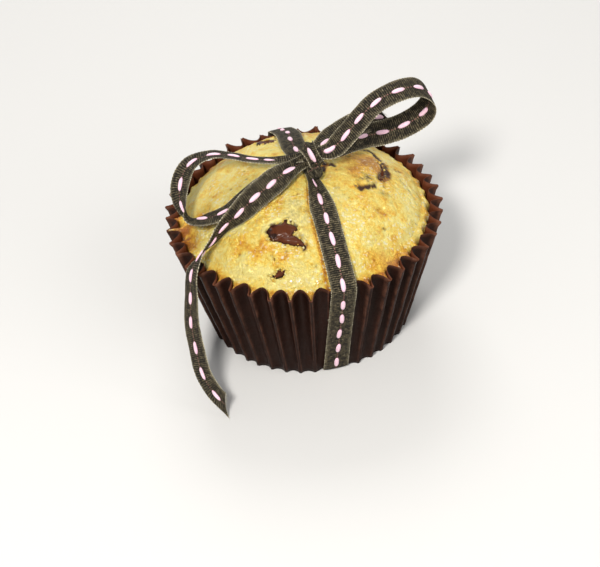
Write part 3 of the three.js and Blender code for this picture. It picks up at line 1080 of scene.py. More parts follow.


# Small patches that sink and darken strongly are holes, darkened as painted shade; the wider dark patches are
# the crust's own stains.
PATCHES = tuple(
    Patch(*row)
    for row in (
        (-9.1, -14.6, 3.4, 0.4), (-5.5, -13, 2.6, 0.2), (-31.4, -11.5, 3.0, 0.45, 0.16, 0.3),
        (-32.4, -9.4, 1.0, 0.5, 0.4, 0.3), (-33.1, -5.8, 2.4, 0.75, 0.1), (-28.1, -4.2, 2.4, 0.1, 0.16, 0.6),
        (-31.4, -4.8, 0.5, 0.3, 0.95, 0.5), (21.9, -7.7, 1.5, -0.1, 0.36, 0.15),
        (23.6, -9.2, 1.0, -0.1, 0.28, 0.1), (20.8, -14.2, 1.1, 0.4, 0.2, 0.2),
        (20.8, -19, 0.4, 0.2, 0.85, 0.35), (17.7, -20.9, 2.0, 0.3), (15, -0.5, 8.6, 0.16, 0.05),
        (-0.5, -16, 5.0, -0.12, 0.2), (-1, -22, 3.0, -0.1, 0.16), (-3, -30, 4.5, -0.05, 0.05),
        (9.5, 0.5, 4.0, -0.1, 0.05), (18.1, 4.4, 3.6, 0.34), (18.4, 2, 5, 0.26), (20.7, 3, 2.6, 0.26),
        (14, -2.6, 1.9, 0.22), (17.5, -3.4, 2, 0.1, 0.5), (19.3, -5.6, 0.7, 0.1, 0.8, 0.3),
        (13.6, 4.8, 0.5, 0.2, 0.9, 0.5), (9.4, -8.3, 0.8, 0.1, 0.3, 0.15), (11.5, -10.3, 0.4, 0.1, 0.5, 0.2),
        (26.8, 6.6, 0.7, 0.6, 0.6, 0.3), (28.2, 6.2, 0.6, 0.6, 0.4, 0.1), (24.2, -1.3, 0.6, 0.5, 0.35),
        (17.9, -10.6, 2.4, 0.24), (20.6, -13.1, 2.6, 0.3), (14.5, -12.8, 2.2, 0.16), (19.3, -26.1, 4.6, 0.2),
        (23.7, -22.3, 4.0, 0.16), (-19.9, 6.7, 1.6, 0.1, 0.06, 0.6), (-14.9, 4.4, 1.1, 0.25, 0.08, 0.35),
        (-16.2, 7.4, 0.8, 0.2, 0.06, 0.3), (-8.8, -26.9, 0.3, 0.2, 0.95, 0.4),
        (-1.4, -24.2, 0.5, 0.3, 0.3, 0.3), (2.3, -19.3, 0.45, 0.4, 0.5, 0.3),
        (1.4, -29.6, 0.5, 0.3, 0.4, 0.35), (-13.2, -23.4, 2.2, 0.3), (-17.6, -21.8, 2.0, 0.2),
        (3, 24, 6, 0.25), (16, 21, 5, 0.3), (-22, 18, 5, 0.25), (30, 12, 4, 0.25),
    )
)
# Where a line sinks, its darkening is partly painted shade in the crack and partly chocolate.
CREASES = tuple(
    Crease(*row)
    for row in (
        (((-11.8, -22.3), (-10.4, -25), (-7.3, -27.2), (-4.2, -28.1), (-1, -27.9)), 1.1, 0.34, 0, -0.4),
        (((-10.4, -22.6), (-8.4, -24.6), (-5.4, -25.9), (-2.4, -26.4), (0.6, -26)), 0.6, 0.12, 0, 0.45),
        (((-17.2, -20.8), (-14.4, -24.6), (-11.4, -27.6), (-8, -29)), 0.9, 0.16, 0, 0.25),
        (((-30.5, -4.6), (-28, -4.6), (-26.4, -7.4), (-25.9, -11)), 1.1, 0.2, 0.1, 0.45),
        (
            ((17.6, 11.6), (19.7, 12), (21, 10.1), (22.4, 7.4), (23.6, 4.9), (24, 2.1), (23.6, -1.4)),
            0.62, 0.3, 1.9, 0.6,
        ),
        (((14.8, -4.7), (17, -4.8), (19, -4.3)), 1.3, 0.1, 0.34, -0.3),
        (((23.3, 2.8), (22.8, 0.4), (22, -2)), 1.1, 0.1, 1.2, 0.15),
        (((14.6, -7.2), (15.9, -7.9), (17.4, -6.9), (18.9, -6.3)), 0.58, 0.1, 1.6, 0.4),
        (((-4.1, -18.6), (-3, -19.1), (-2.1, -20.1)), 0.34, 0.1, 0.8, 0.2),
        (((-1, -26.3), (-0.3, -26.1), (0.4, -25.4)), 0.3, 0.2, 0.9, 0.2),
        (((-3.2, -22.4), (-1.6, -23.2), (-0.4, -24.4)), 1.2, -0.15, 0.3, -0.25),
        (((9.5, 2.5), (12.5, 4.6), (16, 7.4), (18.6, 9.4)), 0.55, 0, 0.3, 0.2),
        (((23.6, -1.4), (22.4, -4.6)), 0.35, 0.2, 0.6, 0.4),
        (((29.4, 1.6), (31.3, 0.4), (33.6, -0.5)), 0.35, 0.2, 0.35, 0.3),
        (((26.6, 3.4), (29.2, 0.6), (31.4, -3.4)), 0.3, 0.1, 0.3, 0.25),
        (((6, -1.8), (6.5, 0.4), (8.2, 0.8), (9.4, 0)), 0.62, 0.4, 1.6, 0.5),
        (((14, 21), (18, 19), (21, 20.5), (25, 18)), 0.6, 0.3, 0.3, 0.5),
        (((-16, 20), (-19, 17.6), (-23, 17)), 0.5, 0.3, 0.2, 0.45),
    )
)


@dataclass
class Crumb:
    """The muffin itself: the domed crust, and the crumb that fills the case."""

    case: FlutedCase
    dome: Dome
    columns: int = 12
    dome_rows: int = 116
    shoulder_rows: int = 10
    side_rows: int = 12
    base_rows: int = 8
    shoulder: float = 33.2
    start: float = 0.65
    overflow: Rows = ((-171.8, 1.0), (-180, 0.6), (-163.6, 0.45), (171.8, 0.35))
    lid: Numbers = (14.6, -0.4, 8.8, 7.4, 0.4)
    pores: int = 110
    seed: int = 7
    paper_gap: float = 0.15
    trough_gap: float = 0.45
    unfilled_swing: float = 0.5
    rim_z: float = 32.9
    filled_rise: float = 2.1
    spill_rise: float = 1.3
    pore_reach: float = 33.0
    lump_height: float = 0.3
    small_lump_height: float = 0.16
    grain_height: float = 0.1
    under_ribbon: float = 0.6
    most_pressed: float = 1.2

    def filling(self, angle: Array, flute: Array) -> Array:
        """How far the crumb fills each flute at the rim.

        Args:
            angle: Headings.
            flute: The same places as flute coordinates.

        Returns:
            0 where it fills none of the flute, and 1 where it reaches the paper.
        """
        front = smooth_step(0.3, 0.75, -np.sin(angle))
        share = 0.12 + 0.86 * front * (0.86 + 0.14 * unevenness(np.round(flute), 5))
        for degrees, amount in self.overflow:
            share = np.maximum(share, amount * self.near(angle, degrees, 2.6))
        return share

    @staticmethod
    def near(angle: Array, degrees: float, width: float) -> Array:
        """1 at one heading and 0 some degrees away from it."""
        return hump(np.degrees(np.angle(np.exp(1j * (angle - math.radians(degrees))))), width)

    def side_radius(self, flute: Array, z: Array, filled: Array) -> Array:
        """Radius of the crumb's side.

        Args:
            flute: Places round the case.
            z: Heights.
            filled: How far the flutes are filled.

        Returns:
            One radius for each place.
        """
        wall = self.case.wall(flute, z)
        tight = wall.lining - self.paper_gap
        swung = self.unfilled_swing * (1 - wall.swing) * (1 - wall.pressed)
        loose = np.minimum(wall.trough - self.trough_gap + swung, tight)
        return loose + (tight - loose) * filled

    def surface(self) -> tuple[Array, Array]:
        """Lays the rows of points, from the top of the dome to the middle of the base.

        Returns:
            The grid of points, and for each how much it is part of the open crust.
        """
        case, dome = self.case, self.dome
        flute = np.arange(case.flutes * self.columns) / self.columns
        wall = case.wall(flute, dome.edge_height)
        turn = together(np.cos(wall.angle), np.sin(wall.angle))
        reach = np.linspace(0.4, self.shoulder, self.dome_rows)[:, None, None] * turn
        rows = list(np.concatenate([reach, dome.top(reach[..., 0], reach[..., 1])[..., None]], -1))
        filled = self.filling(wall.angle, flute)
        spill = sum(amount * self.near(wall.angle, degrees, 2.2) for degrees, amount in self.overflow)
        edge_z = self.rim_z + self.filled_rise * filled + self.spill_rise * spill * (1 - wall.swing)
        edge = self.side_radius(flute, edge_z, filled)
        last_z = rows[-1][:, 2]

        def lay(radius: Array, z: Array) -> None:
            """Adds one row of points."""
            rows.append(np.c_[radius[:, None] * turn, z])

        for quarter in np.linspace(0, math.pi / 2, self.shoulder_rows + 1)[1:]:
            radius = self.shoulder + (edge - self.shoulder) * math.sin(quarter)
            lay(radius, edge_z + (last_z - edge_z) * math.cos(quarter))
        for share in np.linspace(1, 0, self.side_rows + 1)[1:]:
            z = self.start + (edge_z - self.start) * share
            lay(self.side_radius(flute, z, filled * (0.4 + 0.6 * share)), z)
        for share in np.linspace(1, 0.02, self.base_rows + 1)[1:]:
            radius = self.side_radius(flute, self.start, filled * 0.4) * share
            lay(radius, self.start + case.groove(*(radius * turn.T)) / case.groove_height)
        grid = np.array(rows)
        row = np.arange(len(grid))[:, None] * np.ones(len(flute))
        return grid, 1 - smooth_step(self.dome_rows + 2, self.dome_rows + self.shoulder_rows + 2, row)

    def beside_band(self, grid: Array) -> Array:
        """Finds the crust that is pressed up along the band's left edge.

        Args:
            grid: Points of the even form.

        Returns:
            For each point from 0 to 1.
        """
        along = self.case.along(grid[..., 0], grid[..., 1])
        beside = self.case.across(grid[..., 0], grid[..., 1], grid[..., 2])
        from_edge = beside + np.minimum(1.3 + 0.22 * np.maximum(0, along - 6), 3.4)
        return hump(from_edge + 0.5, 0.6) * smooth_step(5, 9, along)

    def relief(self, grid: Array, open_crust: Array) -> tuple[Array, Array, Array]:
        """Works out the small shapes and colours of the crust.

        Args:
            grid: Points of the even form.
            open_crust: How much each is part of the open crust.

        Returns:
            How far each point moves outwards, its browning, and how dark it is from real stains and from
            painted shade in holes and cracks.
        """
        x, y, seed = grid[..., 0], grid[..., 1], self.seed
        lumps = self.lump_height * noise(grid, 6.5, seed, 2)
        lumps += self.small_lump_height * noise(grid, 2.4, seed + 1, 2)
        grain = self.grain_height * noise(grid, 1.0, seed + 2, 2)
        radius, pressed_up = np.hypot(x, y), self.beside_band(grid)
        browning = 0.14 + 0.16 * noise(grid, 9, seed + 3, 2) + 0.2 * lumps + 0.9 * grain
        browning += 0.24 * noise(grid, 2.2, seed + 8, 2)
        browning += 0.24 * smooth_step(31.5, 35.5, radius + 0.7 * noise(grid, 3, seed + 4))
        browning += 0.4 * smooth_step(34.2, 35.8, radius) + 0.55 * pressed_up
        move, stain_and_shade = lumps + grain + 0.12 * pressed_up, np.zeros(x.shape)
        warp_x, warp_y = x + 0.9 * noise(grid, 2.6, seed + 5, 2), y + 0.9 * noise(grid, 2.6, seed + 6, 2)
        marks = [(p, hump(np.hypot(warp_x - p.x, warp_y - p.y), p.radius, 2.5)) for p in PATCHES]
        half_x, half_y = 0.5 * (x + warp_x), 0.5 * (y + warp_y)
        marks += [(c, hump(line_distance(half_x, half_y, np.array(c.line)), c.width)) for c in CREASES]
        for mark, share in marks:
            browning += mark.browning * share
            stain_and_shade = np.maximum(stain_and_shade, mark.stain_and_shade * share)
            move -= mark.sink * share
        lid_x, lid_y, wide, deep, rise = self.lid
        out = np.hypot((warp_x - lid_x) / wide, (warp_y - lid_y) / deep)
        move += rise * (1 - smooth_step(0.9, 1.06, out))
        browning += 0.18 * hump(out - 0.95, 0.12)
        stain_and_shade = np.clip(stain_and_shade * (1 + 1.1 * noise(grid, 0.75, seed + 10, 2)), 0, 1)
        move, browning, stain_and_shade = self.pore_marks(x, y, move, browning, stain_and_shade)
        for chunk in CHUNKS:
            move, stain_and_shade = self.chunk_bed(chunk, grid, move, stain_and_shade)
        return move * (0.3 + 0.7 * open_crust), browning, stain_and_shade * open_crust

    def chunk_bed(self, chunk: Chunk, grid: Array, move: Array, stain_and_shade: Array) -> tuple[Array, Array]:
        """Sinks the crust under a chunk, raises it round the chunk, and darkens the torn edge.

        Args:
            chunk: The chunk.
            grid: Points of the even form.
            move: How far each point moves outwards.
            stain_and_shade: How dark each point is, from real stains and from painted shade.

        Returns:
            The new moves and stains.
        """
        x, y = grid[..., 0], grid[..., 1]
        u, v = chunk.local(self.dome, x, y)
        loop = chunk.loop()
        away = line_distance(u, v, np.vstack([loop, loop[:1]]))
        away = np.where(inside(u, v, loop), -away, away)
        near = np.hypot(x - chunk.at[0], y - chunk.at[1]) < 14
        bed = chunk.bed * smooth_step(-0.6, 0.4, v - chunk.open_above)
        bedded = move - bed * (1 - smooth_step(-0.7, 0.25, away)) + 0.14 * hump(away - 0.9, 0.5)
        torn = away + 0.3 + 0.55 * noise(grid, 1.1, self.seed + 9, 2) + 9 * (v < chunk.open_above)
        darkened_edge = np.maximum(stain_and_shade, 0.85 * (1 - smooth_step(0, 0.45, torn)))
        return np.where(near, bedded, move), np.where(near, darkened_edge, stain_and_shade)

    def pore_marks(self, x: Array, y: Array, move: Array, browning: Array, stain_and_shade: Array) -> tuple[Array, ...]:
        """Adds small holes where bubbles burst, each darkened inside as painted shade.

        Args:
            x: First coordinate of each point.
            y: Second coordinate of each point.
            move: How far each point moves outwards.
            browning: How baked each point is.
            stain_and_shade: How dark each point is, from real stains and from painted shade.

        Returns:
            The new moves, brownings, and darkness with the holes' painted shade.
        """
        chance = np.random.default_rng(self.seed)
        for _ in range(self.pores):
            reach, heading = self.pore_reach * math.sqrt(chance.random()), TURN * chance.random()
            size, dark = chance.uniform(0.16, 0.4), chance.uniform(0.1, 0.85)
            share = hump(np.hypot(x - reach * math.cos(heading), y - reach * math.sin(heading)), size)
            move = move - 0.55 * size * share
            browning = browning + 0.2 * share
            # Painted shade inside the hole.
            stain_and_shade = np.maximum(stain_and_shade, dark * dark * share)
        return move, browning, stain_and_shade

    def below(self, points: Array, straps: list["Strap"]) -> Array:
        """Keeps the crust a little under the ribbon that lies on it.

        Args:
            points: The crust's points.
            straps: The ribbon's lengths.

        Returns:
            The lowered points.
        """
        samples = np.concatenate([strap.grid_points(-self.under_ribbon) for strap in straps])
        samples = samples[samples[:, 2] > self.dome.top(samples[:, 0], samples[:, 1]) - 1]
        tree = KDTree(len(samples))
        for index, place in enumerate(samples):
            tree.insert((place[0], place[1], 0), index)
        tree.balance()
        lowered = points.copy()
        for index in np.flatnonzero(points[:, 2] > self.dome.edge_height + 1.5):
            x, y, z = points[index]
            for _, found, _ in tree.find_range((x, y, 0), 0.45):
                lowered[index, 2] = min(lowered[index, 2], max(samples[found, 2], z - self.most_pressed))
        return lowered

    def build(self, material: Material, straps: list["Strap"]) -> Piece:
        """Makes the crumb with its crust.

        Args:
            material: The crust's finish.
            straps: The ribbon's lengths, which press on the crust.

        Returns:
            The piece.
        """
        grid, open_crust = self.surface()
        move, browning, stain_and_shade = self.relief(grid, open_crust)
        grid = grid - grid_normals(grid) * move[..., None]
        rows, columns = grid.shape[:2]
        points = self.below(grid.reshape(-1, 3), straps)
        points = np.vstack([points, points[:columns].mean(0), points[-columns:].mean(0)])
        shell = Shell()
        marks = {"browning": np.r_[browning.ravel(), 0.2, 0.4], "stain_and_shade": np.r_[stain_and_shade.ravel(), 0, 0]}
        shell.add(points, capped_faces(rows, columns, turned=True), **marks)
        return shell.piece("crust", material, "crust", "muffin")


@dataclass
class Crumbs:
    """Loose crumbs of the crust along the chocolate's edges."""

    dome: Dome
    to_a_chunk: int = 34
    rows: int = 5
    columns: int = 8
    seed: int = 31

    def build(self, material: Material) -> Piece:
        """Makes the crumbs.

        Args:
            material: The crust's finish.

        Returns:
            The piece.
        """
        chance = np.random.default_rng(self.seed)
        lean = np.linspace(-math.pi / 2, math.pi / 2, self.rows + 2)[1:-1][:, None]
        spin = turns(self.columns)
        ball = together(np.cos(lean) * np.cos(spin), np.cos(lean) * np.sin(spin), np.sin(lean)).reshape(-1, 3)
        ball = np.vstack([ball, [[0, 0, -1], [0, 0, 1]]])
        shell = Shell()
        for chunk in CHUNKS:
            loop = chunk.loop()
            right, up, _ = chunk.axes(self.dome)
            for _ in range(self.to_a_chunk):
                spot = loop[chance.integers(len(loop))] + chance.normal(0, 0.22, 2)
                place = np.array([*chunk.at, 0.0]) + spot[0] * right + spot[1] * up
                place[2] = self.dome.top(place[0], place[1]) + chance.uniform(-0.22, 0.06)
                size = chance.uniform(0.16, 0.42) * chance.uniform(0.7, 1.2, 3)
                lump = ball * size * (1 + 0.3 * noise(ball * 1.5 + place, 1.0, self.seed)[:, None])
                marks = {"browning": np.full(len(ball), chance.uniform(0, 0.5))}
                marks["stain_and_shade"] = np.full(len(ball), chance.uniform(0, 0.12))
                shell.add(place + lump, capped_faces(self.rows, self.columns), **marks)
        return shell.piece("crumbs", material, "crust")


# Paper case


@dataclass
class PaperCase:
    """The case: one sheet of thin paper, pleated round the muffin, with a groove for the ribbon under it."""

    form: FlutedCase
    paper: float = 0.17
    rim_flare: float = 0.45
    rim_dip: float = 0.3
    wrinkle: float = 0.12
    small_wrinkle: float = 0.05
    columns: int = 22
    wall_rows: int = 26
    base_rows: int = 14
    seed: int = 11

    def sheet(self) -> tuple[Array, Array]:
        """Lays the outside of the paper, from the middle of the base to the rim.

        Returns:
            The grid of points, and how much each is paler as a fold seam or cut edge, or lit by a painted
            highlight at a fold tip.
        """
        form = self.form
        even = np.arange(form.flutes * self.columns) / self.columns
        flute = even - 0.5 * np.sin(TURN * even) / TURN
        ridge = np.round(flute) % form.flutes
        rows, creases = [], []
        foot = form.wall(flute, 0.0)
        middle = foot.trough * 0.985
        for share in np.linspace(0.03, 0.985, self.base_rows):
            radius = share * (middle + (foot.outer - middle) * share**8)
            rows.append(self.row(radius, foot.angle, np.zeros_like(flute)))
            creases.append(0.25 * hump(foot.swing, 0.2) * share**6)
        for share in np.linspace(0, 1, self.wall_rows):
            z = form.height * share
            wall = form.wall(flute, z)
            fold, seam = hump(wall.swing, 0.3, 4), hump(wall.swing - form.ridge_flat, 0.1)
            top = smooth_step(0.955, 1.0, np.full_like(flute, share))
            flare = self.rim_flare * (0.6 + 0.6 * unevenness(ridge, 6)) * fold * (1 - wall.pressed) * top
            uneven = 0.16 * unevenness(ridge, 8) + 0.12 * np.sin(5.1 * flute)
            height = z + share**4 * (form.trough_rise * wall.swing - self.rim_dip * fold * top + uneven)
            rows.append(self.row(wall.outer + flare, wall.angle, height))
            # Seams: paler folds, partly a painted highlight; fold tips at the top: a painted highlight; the
            # cut rim: paler.
            edged = seam * (0.3 + 0.35 * share) + 0.35 * fold * top + 0.35 * (share > 0.985)
            creases.append(np.clip(edged, 0, 1))
        grid = np.array(rows)
        wrinkles = self.wrinkle * noise(grid * [1, 1, 0.45], 3.2, self.seed, 2)
        wrinkles += self.small_wrinkle * noise(grid, 1.1, self.seed + 1)
        calm = smooth_step(1.0, 4.0, grid[..., 2])
        grid[..., :2] += unit(grid[..., :2]) * (wrinkles * calm)[..., None]
        return grid, np.array(creases)

    def row(self, radius: Array, angle: Array, z: Array) -> Array:
        """One row of points, lifted over the groove."""
        x, y = radius * np.cos(angle), radius * np.sin(angle)
        return together(x, y, np.maximum(z, self.form.groove(x, y)))

    def build(self, material: Material) -> Piece:
        """Makes the case.

        Args:
            material: The paper.

        Returns:
            The piece.
        """
        outside, creases = self.sheet()
        lining = outside - grid_normals(outside) * self.paper
        rows, columns = outside.shape[:2]
        count = rows * columns
        layers = [outside.reshape(-1, 3), lining.reshape(-1, 3), outside[:1].mean(1), lining[:1].mean(1)]
        ring = np.arange(columns)
        after = np.roll(ring, -1)
        rim = together(ring, after, after + count, ring + count) + (rows - 1) * columns
        faces = [grid_faces(rows, columns), grid_faces(rows, columns, first=count)[:, ::-1], rim]
        faces += [fan(2 * count, ring)[:, ::-1], fan(2 * count + 1, ring + count)]
        shell = Shell()
        folded, inner = np.r_[np.tile(creases.ravel(), 2), 0, 0], np.r_[np.zeros(count), np.ones(count), 0, 1]
        shell.add(np.vstack(layers), faces, crease=folded, lining=inner)
        return shell.piece("paper_flutes", material, "paper", "paper_case")


# Ribbon


class Side(Enum):
    """The two faces of the ribbon."""

    UPPER = 1
    UNDER = -1


@dataclass
class Strap:
    """One length of ribbon along a route, with its edge threads and stitches."""

    name: str
    points: Array
    across: Array
    widths: Array
    closed: bool = False
    cut: float = 0.0
    cut_reach: float = 4.4
    stitch_at: Numbers = (3.3,)
    bare: tuple[float, float] = (0.0, 0.0)
    full_width: float = 6.8
    thickness: float = 0.36
    section: int = 15
    station_gap: float = 0.45
    pleating: float = 0.19
    fold_share: float = 0.55
    sway: float = 0.16
    flutter: float = 0.012
    cup: float = 0.1
    cut_hollow: float = 0.6
    bead_gap: float = 0.24
    bead_pitch: float = 0.8
    thread_sides: int = 6
    thread_radius: float = 0.045
    bead_radius: float = 0.072
    thread_out: float = 0.03
    bead_out: float = 0.05
    stitch_pitch: float = 6.7
    stitch_length: float = 3.9
    stitch_width: float = 1.34
    stitch_height: float = 0.4
    stitch_stray: float = 0.16
    unstitched_end: float = 0.4
    full_stitch_from: float = 5.2
    short_ring: float = 60.0
    stitch_rows: int = 11
    stitch_sides: int = 8
    off_floor: float = 0.02
    seed: int = 1

    def __post_init__(self) -> None:
        """Works out the directions and the running length at each station."""
        ahead = np.roll(self.points, -1, axis=0) - np.roll(self.points, 1, axis=0)
        if not self.closed:
            ahead[0], ahead[-1] = self.points[1] - self.points[0], self.points[-1] - self.points[-2]
        self.heading = unit(ahead)
        slant = np.sum(self.across * self.heading, axis=1, keepdims=True)
        self.across = unit(self.across - slant * self.heading)
        self.face = np.cross(self.heading, self.across)
        self.run = running_lengths(self.points)
        self.length = self.run[-1]
        if self.closed:
            self.length += np.linalg.norm(self.points[0] - self.points[-1])

    def steps(self, gap: float) -> Array:
        """Running lengths at even steps over the whole length."""
        return np.linspace(0, self.length, int(self.length / gap) + 1, endpoint=not self.closed)

    def at(self, values: Array, along: Array) -> Array:
        """Works out values between the stations.

        Args:
            values: One number or row for each station.
            along: Running lengths.

        Returns:
            One number or row for each running length.
        """
        run = self.run
        if self.closed:
            along, run = np.mod(along, self.length), np.r_[run, self.length]
            values = np.concatenate([values, values[:1]])
        columns = values.reshape(len(values), -1).T
        found = np.stack([np.interp(along, run, column) for column in columns], -1)
        return found.reshape(*np.shape(along), *values.shape[1:])

    def place(self, along: Array, side: Array, lift: Array) -> Array:
        """Points on or over the ribbon.

        Args:
            along: Running lengths.
            side: From -1 at one edge to 1 at the other.
            lift: Height over the middle of the ribbon's thickness, on its upper face.

        Returns:
            The points.
        """
        width, inwards = self.at(self.widths, along), 1 - side * side
        tight = np.clip(width / self.full_width, 0.2, 1)
        pleat = self.pleating * width * np.sqrt(1 / tight**2 - 1)
        folds = np.sin(1.6 * math.pi * side + 0.5 + 0.9 * np.sin(0.11 * along)) * pleat * self.fold_share
        sway_at = together(along / 7.0, side * 0.6, 3.7 * self.seed)
        sway = self.sway * noise(sway_at, 1.0, 20 + self.seed) * side * side
        flutter = 1 + self.flutter * noise(sway_at * [5.0, 1, 1], 1.0, 70 + self.seed)
        near_cut = np.clip(1 - (self.length - along) / self.cut_reach, 0, 1) * (self.cut > 0)
        moves = (
            (self.across, side * width * flutter / 2),
            (self.face, lift + folds + sway + self.cup * inwards),
            (self.heading, -side * self.cut * near_cut - self.cut_hollow * inwards * near_cut**4),
        )
        found = self.at(self.points, along)
        for direction, distance in moves:
            found = found + unit(self.at(direction, along)) * distance[..., None]
        found[..., 2] = np.maximum(found[..., 2], self.off_floor)
        return found

    def grid_points(self, lift: float) -> Array:
        """Points all over the ribbon's length, at one height over its middle."""
        along, side = np.meshgrid(np.arange(0, self.length, 0.5), np.linspace(-1.05, 1.05, 15), indexing="ij")
        return self.place(along, side, np.full(along.shape, lift)).reshape(-1, 3)

    def body(self, shell: Shell) -> None:
        """Adds the woven strip.

        Args:
            shell: The mesh that it goes in.
        """
        even = np.linspace(-1, 1, self.section)
        half = 0.35 * np.sin(even * math.pi / 2) + 0.65 * even
        along, side = np.meshgrid(self.steps(self.station_gap), np.r_[half, half[::-1]], indexing="ij")
        half_thickness = self.thickness / 2 * np.sqrt(np.clip(1.02 - side**8, 0.15, 1))
        lift = np.repeat([1, -1], self.section) * half_thickness
        rows, columns = along.shape
        faces = [grid_faces(rows, columns, closed=self.closed)]
        if not self.closed:
            low = np.arange(self.section - 1)
            high = 2 * self.section - 1 - low
            cap = together(low, low + 1, high - 1, high)
            faces += [cap[:, ::-1], cap + (rows - 1) * columns]
        weave = together(along, side * self.full_width / 2, 0).reshape(-1, 3)
        edge = smooth_step(0.8, 1.0, np.abs(side)).ravel()
        shell.add(self.place(along, side, lift), faces, weave=weave, edge=edge)

    def edging(self, shell: Shell) -> None:
        """Adds the pale threads along both edges, with a bead at each turn of the thread.

        Args:
            shell: The mesh that they go in.
        """
        along, spin, sides = self.steps(self.bead_gap)[:, None], turns(self.thread_sides), self.thread_sides
        width = self.at(self.widths, along)
        for side in (-1.0, 1.0):
            beads = np.abs(np.sin(math.pi * along / self.bead_pitch + side))
            chance = noise(together(along, side, 0.0), 1.7, 90 + self.seed)
            radius = self.thread_radius + self.bead_radius * beads * (0.75 + 0.5 * chance)
            out = self.thread_out + self.bead_out * beads
            spots = side * (1 + 2 * (out + radius * np.cos(spin)) / width)
            points = self.place(np.broadcast_to(along, spots.shape), spots, 1.25 * radius * np.sin(spin))
            faces = [grid_faces(len(along), sides, closed=self.closed)]
            if not self.closed:
                cap = together(0, np.arange(1, sides - 1), np.arange(2, sides))
                faces += [cap[:, ::-1], cap + (len(along) - 1) * sides]
            if side < 0:
                faces = [f[:, ::-1] for f in faces]
            weave = together(along, spots, 0).reshape(-1, 3)
            # Random stretches of the edge thread take its painted shade colour.
            shell.add(points, faces, weave=weave, edge=np.repeat(np.clip(0.55 - 0.9 * chance, 0, 1), sides))

    def stitches(self, shell: Shell) -> None:
        """Adds the running stitch on both faces.

        Args:
            shell: The mesh that it goes in.
        """
        chance = np.random.default_rng(100 + self.seed)
        before = np.arange(self.stitch_at[0] - self.stitch_pitch, 0, -self.stitch_pitch)
        after = np.arange(self.stitch_at[-1] + self.stitch_pitch, self.length, self.stitch_pitch)
        for side in Side:
            for centre in np.concatenate([before, self.stitch_at, after]):
                width = float(self.at(self.widths, np.array([centre]))[0])
                gathered = np.clip(width / self.full_stitch_from, 0.45, 1)
                gathered = 1.0 if self.closed and self.length < self.short_ring else gathered
                length = self.stitch_length * chance.uniform(0.95, 1.08) * min(1.0, 1.1 * gathered)
                off = chance.uniform(-self.stitch_stray, self.stitch_stray)
                lean = chance.uniform(-self.stitch_stray, self.stitch_stray)
                if self.closed:
                    bare = self.bare[0] < centre < self.bare[1]
                else:
                    last = self.length - self.bare[1] - self.unstitched_end
                    bare = centre - length / 2 < self.bare[0] or centre + length / 2 > last
                if not bare:
                    self.stitch(shell, side, centre, (length, gathered * self.stitch_width), (off, lean))

    def stitch(
        self, shell: Shell, side: Side, centre: float, size: tuple[float, float], slant: tuple[float, float]
    ) -> None:
        """Adds one stitch: a plump lozenge of thread.

        Args:
            shell: The mesh that it goes in.
            side: The face that it lies on.
            centre: Running length of its middle.
            size: Its length and width.
            slant: How far its middle is off the ribbon's middle, and how far its ends are off its own.
        """
        length, breadth = size
        off, lean = slant
        rows, spin = np.linspace(-1, 1, self.stitch_rows + 2)[1:-1, None], turns(self.stitch_sides)
        plump = (1 - np.abs(rows) ** 2.8) ** 0.62
        wide = breadth / 2 * plump * np.cos(spin) + off + lean * rows
        high = self.thickness / 2 + self.stitch_height * plump * np.maximum(np.sin(spin), -0.25)
        along = np.broadcast_to(centre + rows * length / 2, wide.shape)
        width = np.maximum(self.at(self.widths, along), 2.0)
        grid = self.place(along, 2 * wide / width, side.value * high).reshape(-1, 3)
        ends = np.array([-1, 1])
        reach = ends * length / 2
        tips_side = 2 * (off + lean * ends) / np.maximum(self.at(self.widths, centre + reach), 2.0)
        tips = self.place(centre + reach, tips_side, np.full(2, side.value * self.thickness / 2))
        weave = np.vstack([together(along - centre, wide, 0).reshape(-1, 3), together(reach, 0, 0)])
        # Painted shade: the stitch's sides and ends take the thread's shade colour.
        rim = np.maximum(np.abs(np.cos(spin)) ** 3, np.abs(rows) ** 6)
        faces = capped_faces(self.stitch_rows, self.stitch_sides, turned=side is Side.UNDER)
        shell.add(np.vstack([grid, tips]), faces, weave=weave, edge=np.r_[0.6 * rim.ravel(), 1, 1])


def hair(shell: Shell, line: Array, radius: float, off_floor: float = 0.15) -> None:
    """Adds one loose thread.

    Args:
        shell: The mesh that it goes in.
        line: Points that it follows.
        radius: Half its thickness at the root; it thins towards its end.
        off_floor: Least height of its middle.
    """
    shares = np.linspace(0, 1, 3 * len(line))
    points = smooth_line(line, shares)
    points[:, 2] = np.maximum(points[:, 2], off_floor)
    heading = unit(np.gradient(points, axis=0))
    side = unit(np.cross(heading, [0.3, 0.5, 0.81]))
    up = np.cross(heading, side)
    spin = turns(4)[:, None]
    size = radius * (1 - 0.6 * shares)[:, None, None]
    grid = points[:, None] + size * (np.cos(spin) * side[:, None] + np.sin(spin) * up[:, None])
    rows, columns = grid.shape[:2]
    cap = np.arange(columns)[None]
    faces = [grid_faces(rows, columns), cap[:, ::-1], cap + (rows - 1) * columns]
    shell.add(grid, faces, weave=np.zeros((rows * columns, 3)), edge=np.zeros(rows * columns))


def softened(values: Array, times: int) -> Array:
    """Evens out values round a closed ring.

    Args:
        values: One number or row for each place on the ring.
        times: How often each becomes the mean of itself and its neighbours.

    Returns:
        The new values.
    """
    for _ in range(times):
        values = (np.roll(values, 1, axis=0) + values + np.roll(values, -1, axis=0)) / 3
    return values


